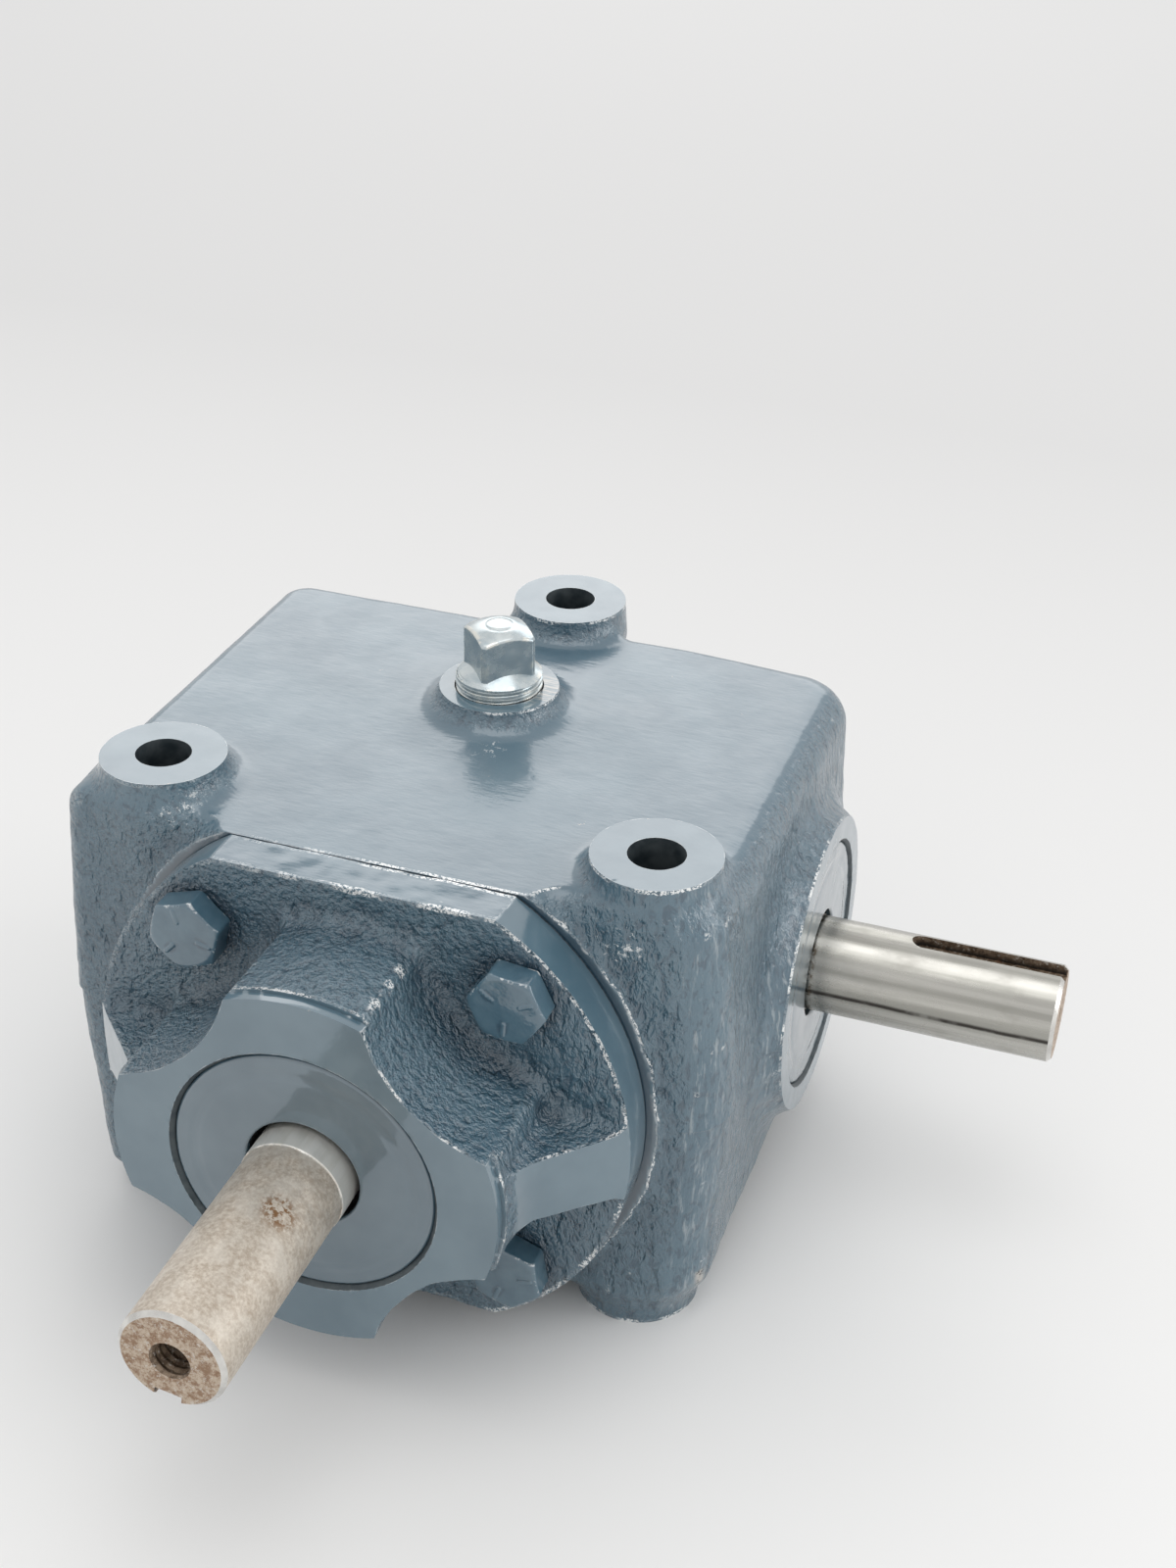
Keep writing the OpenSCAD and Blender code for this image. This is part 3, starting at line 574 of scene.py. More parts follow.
def machined_paint(name, tint, pale, depth=0.05, coat_rough=0.1):
    """Enamel over a milled or turned face, with a painted highlight along its upward edges and painted shade
    where it is shut in.
    """
    k = Look(name, coat=1.0, coat_rough=coat_rough, coat_ior=1.95)
    colour = k.mix(k.span(k.noise(18, 3), 0.3, 0.7), tint, pale)
    # painted highlight along upward-facing convex edges, where the enamel also wears away
    edge = k.math("ADD", k.rim(), k.math("MULTIPLY", k.noise(3.5, 4, 0.7), -1.0))
    upward = k.span(k.facing(2), -0.4, 0.3, 0.35, 1)
    convex = k.span(k.crest(), 0.3, 0.8)
    edge_highlight = k.math("MULTIPLY", k.math("MULTIPLY", k.span(edge, -0.52, -0.4, 0.35, 0), upward), convex)
    # painted shade where the face is shut in
    colour = k.mix(k.span(k.hollow(), 0.3, 0.8, 0, 0.85), colour, PAINT_SHADE_AND_PITS)
    colour = k.mix(edge_highlight, colour, HIGHLIGHT_WHITE)
    brushed = k.span(k.noise(1, 3, 0.6, vector=k.spread((200, 1600, 900))), 0.42, 0.6, 0, 0.9)
    rubbed = k.math("MULTIPLY", k.near(RUB_PLACE, 3 * MM, 7.5 * MM), brushed)
    colour = k.mix(rubbed, colour, BARE_BOSS)
    chips = k.math("MULTIPLY", k.span(k.noise(2.2, 5, 0.75), 0.68, 0.72), k.span(k.rim(), 0.4, 2.0, 1, 0))
    chips = k.math("MULTIPLY", chips, convex)
    colour = k.mix(chips, colour, BEIGE)
    specks = k.span(k.noise(1.1, 3, 0.8), 0.77, 0.8, 0, 0.7)
    colour = k.mix(specks, colour, PAINT_DARK_AND_SHADE)
    height = k.math("ADD", k.noise(3.2, 2, 0.5), k.math("MULTIPLY", k.noise(0.8, 2, 0.5), 0.14))
    return k.finish(colour, k.span(k.noise(7, 3), 0.3, 0.7, 0.3, 0.42), k.bump(height, depth, 0.6))


def raw_cast():
    """Bare iron inside the case, oiled."""
    k = Look("iron_inside", metallic=0.6)
    tone = k.noise(6, 4)
    colour = k.mix(k.span(tone, 0.3, 0.7), (0.07, 0.065, 0.06), (0.16, 0.15, 0.14))
    return k.finish(colour, k.span(tone, 0.3, 0.7, 0.35, 0.6), k.bump(k.noise(1.6, 4), 0.3, 0.6))


def bore_metal():
    """Drilled and bored walls: dark oiled iron with tool marks."""
    k = Look("iron_bore", metallic=0.4)
    tone = k.noise(4, 4)
    colour = k.mix(k.span(tone, 0.3, 0.7), (0.035, 0.05, 0.06), (0.1, 0.12, 0.13))
    return k.finish(colour, k.span(tone, 0.3, 0.7, 0.35, 0.55), k.bump(k.noise(0.6, 2), 0.05, 0.5))


def bolt_paint():
    """Enamel on a bolt head, with painted shade in its corners and a painted highlight on its raised lines,
    where the paint also wears away.
    """
    k = Look("paint_bolt", coat=1.0, coat_rough=0.12, coat_ior=1.8)
    colour = k.mix(k.span(k.noise(5, 3), 0.3, 0.7), PAINT, PAINT_PALE)
    # painted shade in the concave corners
    colour = k.mix(k.math("MULTIPLY", k.span(k.crest(), -0.1, -0.6), 0.8), colour, PAINT_DARK_AND_SHADE)
    # painted highlight on the sharpest crests, where the paint also wears away
    worn_and_highlight = k.math("MULTIPLY", k.span(k.crest(), 1.5, 2.6, 0, 0.8), k.span(k.noise(1.6, 3, 0.7), 0.54, 0.64))
    colour = k.mix(worn_and_highlight, colour, HIGHLIGHT_WHITE)
    height = k.math("ADD", k.noise(2.0, 2, 0.5), k.math("MULTIPLY", k.noise(0.5, 2, 0.5), 0.2))
    return k.finish(colour, k.span(k.noise(3, 3), 0.3, 0.7, 0.3, 0.45), k.bump(height, 0.12, 0.7))


def plain_steel(name, low, high, rough=(0.25, 0.4), grain=0.5, depth=0.02):
    """Steel with a slight mottle and fine tool marks."""
    k = Look(name, metallic=1.0)
    tone = k.noise(4, 4)
    colour = k.mix(k.span(tone, 0.3, 0.7), low, high)
    return k.finish(colour, k.span(tone, 0.3, 0.7, *rough), k.bump(k.noise(grain, 3), depth, 0.6))


def zinc_plate():
    """Bright zinc: smooth bluish flats, with a painted highlight where it turns over."""
    k = Look("zinc_bright", metallic=0.9)
    tone = k.noise(3.5, 3, 0.5)
    colour = k.mix(k.span(tone, 0.3, 0.7), (0.44, 0.51, 0.545), (0.6, 0.65, 0.66))
    # painted highlight on convex crests and the domed top
    crest_highlight = k.span(k.crest(), 0.15, 1.2, 0.12, 0.85)
    crest_highlight = k.math("MULTIPLY", k.span(k.noise(2.2, 4, 0.6), 0.42, 0.62), crest_highlight)
    colour = k.mix(crest_highlight, colour, (0.8, 0.79, 0.73))
    height = k.math("ADD", k.noise(2.4, 2, 0.5), k.math("MULTIPLY", k.noise(0.35, 2), 0.12))
    return k.finish(colour, k.span(tone, 0.3, 0.7, 0.2, 0.32), k.bump(height, 0.045, 0.5))


def oily_shaft():
    """Ground steel under a dried brown oil film, with rust spots and a clean journal by the seal."""
    k = Look("shaft_oily", metallic=0.6)
    turned = k.span(k.noise(1, 3, 0.6, vector=k.spread((500, 60, 500))), 0.35, 0.65)
    steel = k.mix(turned, (0.66, 0.65, 0.6), (0.74, 0.73, 0.69))
    film = k.mix(k.span(k.noise(0.8, 5, 0.7), 0.36, 0.66), (0.43, 0.355, 0.28), (0.64, 0.575, 0.49))
    film = k.mix(k.span(k.noise(5, 4, 0.6), 0.42, 0.66, 0, 0.5), film, (0.7, 0.65, 0.575))
    film = k.mix(k.span(k.noise(2.0, 5, 0.75), 0.58, 0.7, 0, 0.45), film, (0.34, 0.245, 0.17))
    edge = k.math("ADD", k.axis(1), k.math("MULTIPLY", k.noise(8, 3), 0.0016))
    cover = k.span(edge, -0.0972, -0.0966, 1, 0)
    colour = k.mix(k.math("MULTIPLY", cover, 0.94), steel, film)
    near = k.near(RUST_PLACE, 1.6 * MM, 4.6 * MM)
    spots = k.math("MULTIPLY", near, k.span(k.noise(1.0, 4, 0.7), 0.46, 0.55))
    stray = k.span(k.noise(1.5, 5, 0.8), 0.73, 0.77, 0, 0.7)
    colour = k.mix(k.math("MULTIPLY", k.math("MAXIMUM", spots, stray), cover), colour, (0.24, 0.13, 0.06))
    height = k.math("ADD", k.noise(0.8, 4, 0.6), k.math("MULTIPLY", k.noise(0.3, 2), 0.3))
    return k.finish(colour, k.span(k.noise(2.2, 4), 0.3, 0.7, 0.34, 0.5), k.bump(height, 0.03, 0.5))


def bright_shaft():
    """Ground steel with long bands, a dark streak and a few pits."""
    k = Look("shaft_bright", metallic=1.0)
    bands = k.noise(1, 3, 0.55, vector=k.spread((9, 330, 330)))
    cloud = k.noise(1, 4, 0.6, vector=k.spread((110, 240, 240)))
    colour = k.mix(k.span(bands, 0.36, 0.64), (0.35, 0.345, 0.315), (0.52, 0.51, 0.475))
    colour = k.mix(k.span(cloud, 0.54, 0.72, 0, 0.35), colour, (0.3, 0.29, 0.26))
    wave = k.math("ADD", k.axis(2), k.math("MULTIPLY", k.noise(16, 3), 0.0007))
    streak = k.math("MULTIPLY", k.span(wave, 0.0484, 0.0489), k.span(wave, 0.0492, 0.0499, 1, 0))
    front = k.span(k.axis(1), -0.006, -0.0075)
    broken = k.span(k.noise(6, 3), 0.3, 0.5, 0.4, 1)
    streak = k.math("MULTIPLY", k.math("MULTIPLY", streak, front), broken)
    colour = k.mix(streak, colour, (0.06, 0.055, 0.05))
    pits = k.span(k.noise(1.4, 5, 0.8), 0.74, 0.765)
    stain = k.math("MULTIPLY", k.span(k.axis(0), 0.0692, 0.0684), k.span(k.noise(2, 4), 0.48, 0.62))
    colour = k.mix(k.math("MAXIMUM", pits, stain), colour, (0.12, 0.09, 0.06))
    fine = k.noise(1, 2, 0.5, vector=k.spread((260, 1500, 1500)))
    return k.finish(colour, k.span(cloud, 0.35, 0.7, 0.22, 0.36), k.bump(fine, 0.006, 0.5))


def rusty_steel(name, low, high):
    """Steel skinned with light rust, patchy, and with painted shade where it is shut in."""
    k = Look(name, metallic=0.35)
    colour = k.mix(k.span(k.noise(1.3, 5, 0.8), 0.42, 0.58), low, high)
    colour = k.mix(k.span(k.noise(0.8, 4, 0.75), 0.56, 0.64, 0, 0.7), colour, (0.62, 0.59, 0.54))
    # painted shade where the surface is shut in
    colour = k.mix(k.span(k.hollow(), 0.55, 0.9, 0, 0.9), colour, (0.01, 0.009, 0.008))
    colour = k.mix(k.span(k.noise(2.1, 4, 0.7), 0.62, 0.7, 0, 0.7), colour, RUST)
    normal = k.bump(k.noise(0.8, 5, 0.7), 0.08, 0.8)
    return k.finish(colour, k.span(k.noise(1.2, 4), 0.3, 0.7, 0.4, 0.65), normal)


def moulded_rubber():
    """Black rubber of the sealing lips."""
    k = Look("nitrile", specular=0.4)
    colour = k.mix(k.span(k.noise(3, 4), 0.3, 0.7), (0.008, 0.008, 0.009), (0.022, 0.022, 0.024))
    return k.finish(colour, k.span(k.noise(2, 3), 0.3, 0.7, 0.4, 0.6), k.bump(k.noise(0.4, 3), 0.03, 0.6))


def gasket_sheet():
    """Dark fibre sheet between the case and the carrier."""
    k = Look("gasket_sheet", specular=0.3)
    colour = k.mix(k.span(k.noise(1.2, 5, 0.7), 0.4, 0.6), (0.025, 0.03, 0.034), (0.07, 0.085, 0.1))
    return k.finish(colour, 0.7, k.bump(k.noise(0.5, 4), 0.06, 0.8))


paint_cast = cast_paint()
paint_machined = machined_paint("paint_machined", (0.048, 0.108, 0.15), (0.082, 0.15, 0.194))
paint_seal = machined_paint("paint_seal", (0.046, 0.094, 0.13), (0.074, 0.128, 0.166), 0.035, 0.08)
paint_bolt = bolt_paint()
iron_inside = raw_cast()
iron_bore = bore_metal()
bare_thread = plain_steel("thread_steel", (0.2, 0.2, 0.2), (0.36, 0.35, 0.33))
zinc = zinc_plate()
shaft_oily = oily_shaft()
shaft_bright = bright_shaft()
edge_steel = plain_steel("edge_steel", (0.55, 0.54, 0.52), (0.74, 0.73, 0.7), (0.22, 0.36))
end_rust = rusty_steel("end_rust", (0.27, 0.17, 0.105), (0.5, 0.41, 0.32))
slot_rust = rusty_steel("slot_rust", (0.1, 0.065, 0.04), (0.25, 0.185, 0.13))
rubber = moulded_rubber()
gasket = gasket_sheet()
INNER = {
    "bearing": plain_steel("bearing_steel", (0.5, 0.5, 0.51), (0.66, 0.66, 0.67), (0.12, 0.22), 0.3, 0.006),
    "roller": plain_steel("roller_steel", (0.58, 0.58, 0.6), (0.72, 0.72, 0.74), (0.08, 0.16), 0.3, 0.004),
    "cage": plain_steel("cage_steel", (0.2, 0.19, 0.18), (0.34, 0.33, 0.31), (0.3, 0.45), 1.2, 0.03),
    "gear": plain_steel("gear_steel", (0.16, 0.16, 0.165), (0.3, 0.3, 0.31), (0.26, 0.4), 0.8, 0.03),
    "spring": plain_steel("ring_steel", (0.22, 0.22, 0.23), (0.36, 0.36, 0.37), (0.26, 0.4), 0.6, 0.02),
}

# -------------------- housing

MOUNTS = ((-47.6, -47.6), (47.6, -47.6), (0.0, 41.3))
MOUNT_HOLE_R = 5.15
PLUG_HOLE_R = 8.75
HALF_WIDTH = 65.0
FRONT = 60.3
REAR = 38.9
SIDE_DRAFT, FRONT_DRAFT, REAR_DRAFT = 0.052, 0.02, 0.04
JOINT_SOFT = 0.25
BOSS_R = 11.7
BOSS_FILLET = 4.5
BOSS_STOCK = 52
PAD_R = 53.4
PAD_FRONT = 61.9
MILLED_FRONT = 61.4
OUT_FACE = 68.6
OUT_R = 29.4
SNAP_AT, SNAP_HALF, SNAP_DEPTH = 60.7, 0.65, 1.5
TAP_R = 4.01
TAP_END = 42.0
WELL_R = 36.51
SIDE_WELL_R = 35.5
BEARING_WALL = 41.2
CAST_GRAIN = ((0.22, 9.0), (0.13, 3.6), (0.08, 2.0))


def case_body(x, y, z):
    """Drafted box with its corners rounded; the left ones are tighter, and the lower half is set in."""
    az, ax = np.abs(z), np.abs(x)
    lower = ramp(-z, -JOINT_SOFT, JOINT_SOFT)
    right, back = ramp(x, -20, 20), ramp(y, -20, 10)
    side = ax - (HALF_WIDTH - SIDE_DRAFT * az - 0.5 * lower)
    front = -y - (FRONT - FRONT_DRAFT * az)
    rear = y - (REAR + 1.7 * right - REAR_DRAFT * az - 0.3 * lower)
    corner = (4.0 + 6.0 * right) * (1 - back) + (6.0 + 4.0 * right) * back
    plan = round_cut(side, np.maximum(front, rear), corner)
    return round_cut(plan, az - TOP, 3.6 + 3.2 * ramp(x, 25, 62))


def case_outside(x, y, z):
    """The whole casting: box, front pad, bosses at both ends and the seats of both output sides."""
    az, ax = np.abs(z), np.abs(x)
    pad = blend_cut(np.hypot(x, z) - PAD_R, -y - PAD_FRONT, 2.2)
    pad = np.maximum(pad, np.maximum(y + 50, az - 47))
    body = np.maximum(blend_join(case_body(x, y, z), pad, 3.5), az - TOP)
    low = AXIS_H - az
    for bx, by in MOUNTS:
        radius = BOSS_R + 0.06 * np.minimum(low, 8) - 0.11 * np.maximum(low - 8, 0)
        boss = np.maximum(np.hypot(x - bx, y - by) - radius, az - BOSS_STOCK)
        body = blend_join(body, boss, BOSS_FILLET)
    boss = np.maximum(np.hypot(x, y) - (BOSS_R + 0.1 * low), az - BOSS_STOCK)
    body = blend_join(body, boss, BOSS_FILLET)
    seat = np.maximum(np.hypot(y, z) - (OUT_R + 0.22 * (OUT_FACE - ax)), ax - 72)
    return blend_join(body, seat, 8.0)


def case_bores(x, y, z):
    """Filler, mounting, seal and bolt holes, below zero outside them."""
    ax = np.abs(x)
    bores = -(np.hypot(x, y) - PLUG_HOLE_R)
    for bx, by in MOUNTS:
        bores = np.maximum(bores, MOUNT_HOLE_R - np.hypot(x - bx, y - by))
    seat = SEAL_SEAT_R + np.maximum(ax - OUT_FACE + 0.7, 0) * SEAL_SEAT_MOUTH
    seat = seat + SNAP_DEPTH * (np.abs(ax - SNAP_AT) < SNAP_HALF)
    bores = np.maximum(bores, seat - np.hypot(y, z))
    for sx, sz in FOUR_WAYS:
        tap = TAP_R - np.hypot(x - sx * BOLT_AT, z - sz * BOLT_AT)
        bores = np.maximum(bores, np.minimum(tap, -y - TAP_END))
    return bores


def case_well(x, y, z):
    """Space inside the case, below zero within it."""
    ax = np.abs(x)
    well = np.maximum(np.hypot(x, z) - WELL_R, y)
    well = np.minimum(well, np.maximum(np.hypot(y, z) - SIDE_WELL_R, ax - 56))
    well = np.maximum(well, -np.maximum(np.hypot(y, z) - 31, BEARING_WALL - ax))
    rear_x, rear_y = MOUNTS[2]
    return np.maximum(well, 11.8 - np.hypot(x - rear_x, y - rear_y))


def housing_fields(x, y, z):
    """Cast skin, machined faces, bores and inside of the case."""
    az, ax = np.abs(z), np.abs(x)
    calm = 1 - 0.82 * ramp(az, 41.5, 43.8)
    cast = roughened(case_outside(x, y, z), x, y, z, CAST_GRAIN, calm=calm)
    faces = np.maximum(np.maximum(az - AXIS_H, ax - OUT_FACE), -y - MILLED_FRONT)
    return cast, faces, case_bores(x, y, z), -case_well(x, y, z)


H_STEP = 0.8
X_FINE = [(66.6, 69.6, 0.4), (59.4, 62.0, 0.4)]
Z_FINE = [(47.6, 50.2, 0.4), (43.2, 45.6, 0.5), (-0.8, 0.8, 0.25), (-45.6, -43.2, 0.5)]
H_GRID = (
    steps(-71, 71, H_STEP, X_FINE + [(-b, -a, s) for a, b, s in X_FINE]),
    steps(-64, 56, H_STEP, [(-62.6, -59.6, 0.4)]),
    steps(-51.2, 51.2, H_STEP, Z_FINE),
)


def flange_space(x, y, z):
    """Where the carrier's flange stands in front of the case."""
    disc = np.maximum(np.hypot(x, z) - FLANGE_R, np.abs(z) - TOP)
    return np.maximum(disc, np.maximum(-y - BOLT_SEAT, y + FLANGE_BACK))


piece("cast_housing", shape(housing_fields, H_GRID, around=flange_space),
      [paint_cast, paint_machined, iron_bore, iron_inside], "gear_case", ["housing"])

# -------------------- bearing carrier

SCALLOP_R = 30.0
SCALLOP_AT = 58.9
BARREL_R = 37.0
NOSE_R = 36.3
NOSE_FACE = 93.7
NOSE_STEP = 91.6
RIB_HALF = 6.3
RIB_SLOPE = 122.0
PILOT_R = 36.45
PILOT_NOSE_AT, PILOT_NOSE_R = 52.3, 30.5
CLEAR_HOLE_R = 4.4
CUP_END, SHAFT_HOLE_R, SEAL_SEAT_END = 59.83, 19.5, 66.2
CARRIER_GRAIN = ((0.22, 8.0), (0.14, 3.4), (0.08, 2.0))


def carrier_body(x, y, z):
    """Barrel with four scallops, a rib on each side and the flange."""
    d, r, ax = -y, np.hypot(x, z), np.abs(x)
    barrel = np.maximum(r - BARREL_R, d - 96)
    for sx, sz in FOUR_WAYS:
        across, up = x - sx * SCALLOP_AT / math.sqrt(2), z - sz * SCALLOP_AT / math.sqrt(2)
        barrel = blend_cut(barrel, -(np.hypot(across, up) - SCALLOP_R), 1.3)
    rib = np.maximum(np.abs(z + 0.4) - (RIB_HALF + 0.05 * (85 - d)), (ax + d - 123.2) / math.sqrt(2))
    barrel = blend_join(barrel, np.maximum(rib, ax - 52.4), 3.2)
    flange = np.maximum(np.maximum(r - 53, d - BOLT_SEAT), np.abs(z) - TOP)
    return np.maximum(blend_join(barrel, flange, 4.0), 45.9 - d)


def carrier_fields(x, y, z):
    """Cast skin, machined faces and bores of the carrier."""
    d, r, ax = -y, np.hypot(x, z), np.abs(x)
    cast = roughened(carrier_body(x, y, z), x, y, z, CARRIER_GRAIN)

    faces = np.maximum(d - NOSE_FACE, np.minimum(d - NOSE_STEP, r - NOSE_R))
    faces = np.maximum(faces, r - FLANGE_R)
    faces = np.maximum(faces, blend_join((ax + d - RIB_SLOPE) / math.sqrt(2), r - 37.4, 3.0))
    faces = np.maximum(faces, np.minimum(FLANGE_BACK - d, r - PILOT_R))
    faces = np.maximum(faces, np.minimum(PILOT_NOSE_AT - d, r - PILOT_NOSE_R))

    bores = -(r - SHAFT_HOLE_R)
    bores = np.maximum(bores, np.minimum(SEAL_SEAT_R - r, CUP_END - d))
    seat = SEAL_SEAT_R + np.maximum(d - NOSE_FACE + 0.9, 0) * SEAL_SEAT_MOUTH
    bores = np.maximum(bores, np.minimum(seat - r, d - SEAL_SEAT_END))
    for sx, sz in FOUR_WAYS:
        bores = np.maximum(bores, CLEAR_HOLE_R - np.hypot(x - sx * BOLT_AT, z - sz * BOLT_AT))
    return cast, faces, bores


C_STEP = 0.7
C_GRID = (
    steps(-55, 55, C_STEP),
    steps(-97, -44, C_STEP, [(-94.6, -90.6, 0.35), (-71.4, -69, 0.4), (-62.4, -61, 0.4)]),
    steps(-54.6, 54.6, C_STEP),
)


def bolt_space(x, y, z):
    """Where the bolt heads stand in the carrier's pockets."""
    heads = np.hypot(np.abs(x) - BOLT_AT, np.abs(z) - BOLT_AT) - 6.9
    return np.maximum(heads, np.maximum(-y - BOLT_SEAT - HEAD_H, y + BOLT_SEAT))


piece("cast_carrier", shape(carrier_fields, C_GRID, around=bolt_space),
      [paint_cast, paint_machined, iron_bore], "gear_case", ["bearing_carrier"])

# -------------------- bolts

HEX = 6.35
BOLT_R = 3.97
BOLT_L = 25.4
THREAD_DEPTH = 0.55
LINE_AT, LINE_HALF = 4.1, 1.1


def winding(x, y, z, pitch):
    """0 on a thread's crest and 1 in its root, for a right-hand thread along z."""
    turn = z / pitch - np.arctan2(y, x) / (2 * math.pi)
    return 1 - np.abs(2 * (turn - np.floor(turn)) - 1)


def bolt_fields(x, y, z):
    """Hexagon bolt seated at z 0, with three raised lines on its head and no letters."""
    r = np.hypot(x, y)
    head = None
    for a in (0, 60, 120):
        c, s = math.cos(math.radians(a)), math.sin(math.radians(a))
        side = np.abs(x * c + y * s) - HEX
        head = side if head is None else round_cut(head, side, 0.35)
    head = round_cut(head, (r - 6.15 + 1.75 * (z - HEAD_H)) / 2.02, 0.3)
    lines = 0
    for a in (0, 120, 240):
        c, s = math.cos(math.radians(a)), math.sin(math.radians(a))
        along, across = x * c + y * s, y * c - x * s
        off_line = np.hypot(np.maximum(np.abs(along - LINE_AT) - LINE_HALF, 0), across)
        lines = lines + ramp(off_line, 0.55, 0.2)
    head = round_cut(head, z - HEAD_H + 0.12 - 0.22 * lines - 0.06 * ramp(r, 3.0, 1.0), 0.35)
    washer = np.maximum(r - 6.0, z - 1)
    head = np.maximum(np.minimum(np.maximum(head, 0.3 - z), washer), -z)
    head = roughened(head, x, y, z, ((0.05, 2.6),), 0.8)
    root = THREAD_DEPTH * winding(x, y, z, THREAD_PITCH) * ramp(z, -7.0, -8.4)
    stem = np.maximum(r - BOLT_R + root, z - 0.2)
    stem = np.maximum(stem, -(z + BOLT_L) + 0.7 * ramp(r, 2.8, 4.2))
    return (np.minimum(head, stem),)


BOLT_ACROSS = steps(-8, 8, 0.26)
bolt = shape(bolt_fields, (BOLT_ACROSS, BOLT_ACROSS, steps(-26, 6.2, 0.3, [(3.6, 6.0, 0.2)])), exact=True)
verts, quads, marks, _, normals = bolt
under_head = verts[quads].mean(axis=1)[:, 2] < -0.05
bolt = (verts, quads, marks, under_head.astype(np.int32), normals)

# where each bolt sits, and how far it was turned when it was tightened
BOLTS = (("upper_left", -1, 1, 107), ("upper_right", 1, 1, 25),
         ("lower_right", 1, -1, 10), ("lower_left", -1, -1, 63))
for label, sx, sz, degrees in BOLTS:
    c, s = math.cos(math.radians(degrees)), math.sin(math.radians(degrees))
    piece("carrier_bolt_" + label, bolt, [paint_bolt, bare_thread], "gear_case", ["carrier_bolts"],
          turn=((c, -s, 0), (0, 0, -1), (s, c, 0)),
          move=(sx * BOLT_AT, -BOLT_SEAT, AXIS_H + sz * BOLT_AT))

# -------------------- filler plug

PLUG_R = 8.6
PLUG_TURN = math.radians(42.5)
SQUARE_HALF = 5.55
SQUARE_CORNER = 7.3
PLUG_TOP = 13.25


def plug_fields(x, y, z):
    """Square-headed plug standing in the boss, whose top is z 0."""
    r = np.hypot(x, y)
    c, s = math.cos(PLUG_TURN), math.sin(PLUG_TURN)
    u, v = np.abs(x * c + y * s), np.abs(y * c - x * s)
    square = round_cut(u - SQUARE_HALF, v - SQUARE_HALF, 0.12)
    square = round_cut(square, (u + v) / math.sqrt(2) - SQUARE_CORNER, 0.1)
    dome = (r - 7.5 + 1.55 * (z - 11.2)) / 1.85
    top = blend_cut(dome, z - PLUG_TOP + 0.012 * r * r, 1.6)
    top = top + 0.07 * ramp(np.abs(r - 2.9), 0.5, 0.1) - 0.05 * ramp(r, 2.6, 2.0)
    head = round_cut(square, top, 0.3)
    collar = np.maximum((r - 5.2 + 2.2 * (z - 4.3)) / 2.4, z - 6)
    head = np.maximum(np.minimum(head, collar), 2.9 - z)
    thread = r - PLUG_R + 0.75 * ramp(winding(x, y, z - 0.2, THREAD_PITCH), 0.12, 0.9)
    stem = np.maximum(np.maximum(thread, r - 8.5), (z - 3.3 + 0.6 * (r - 7.8)) / 1.17)
    stem = np.maximum(stem, -(z + 9.2) + 0.8 * ramp(r, 6.8, 8.8))
    return (roughened(np.minimum(head, stem), x, y, z, ((0.03, 2.2),), 0.6),)


PLUG_ACROSS = steps(-9.4, 9.4, 0.24)
plug = shape(plug_fields, (PLUG_ACROSS, PLUG_ACROSS, steps(-10, 14.2, 0.22)), exact=True)
piece("plug_square_head", plug, [zinc], "gear_case", ["filler_plug"], move=(0, 0, 2 * AXIS_H))

# -------------------- seals, outward along z from the outer face

SEAL_R = 24.61
SEAL_HOLE_R = 10.75
SEAL_DEEP = 6.35
INPUT_SEAL_AT, OUTPUT_SEAL_AT = 93.2, 68.1


def seal_fields(x, y, z):
    """Pressed seal case with a shallow ring on its face."""
    r = np.hypot(x, y)
    out = round_cut(r - SEAL_R, z, 0.8)
    out = round_cut(out, SEAL_HOLE_R - r, 0.4)
    out = out + 0.09 * ramp(np.abs(r - 20.6), 1.5, 0.3)
    well = np.maximum(r - 23.4, z + 1.2)
    out = np.maximum(np.maximum(out, -well), -(z + SEAL_DEEP))
    return (roughened(out, x, y, z, ((0.05, 7.0), (0.03, 2.6)), 0.8),)


SEAL_ACROSS = steps(-25.6, 25.6, 0.45)
seal = shape(seal_fields, (SEAL_ACROSS, SEAL_ACROSS, steps(-7, 0.8, 0.3)), exact=True)
ALONG_INPUT = ((1, 0, 0), (0, 0, -1), (0, 1, 0))
ALONG_OUTPUT = ((0, 0, 1), (1, 0, 0), (0, 1, 0))
piece("input_seal_face", seal, [paint_seal], "gear_case", ["input_seal_case"],
      turn=ALONG_INPUT, move=(0, -INPUT_SEAL_AT, AXIS_H))
piece("output_seal_face", seal, [paint_seal], "gear_case", ["output_seal_case"],
      turn=ALONG_OUTPUT, move=(OUTPUT_SEAL_AT, 0, AXIS_H))

# -------------------- shafts, outward along z from the crossing

JOURNAL_R = 9.725
HALF_KEY = 2.38
KEY_FLOOR = 7.145
GROOVE_DEPTH = 0.72
CHAMFER = 0.8


def key_cut(x, y, angle):
    """Height above the keyway's floor and distance across it, for a key at this angle."""
    c, s = math.cos(math.radians(angle)), math.sin(math.radians(angle))
    return x * c + y * s - KEY_FLOOR, np.abs(y * c - x * s) - HALF_KEY


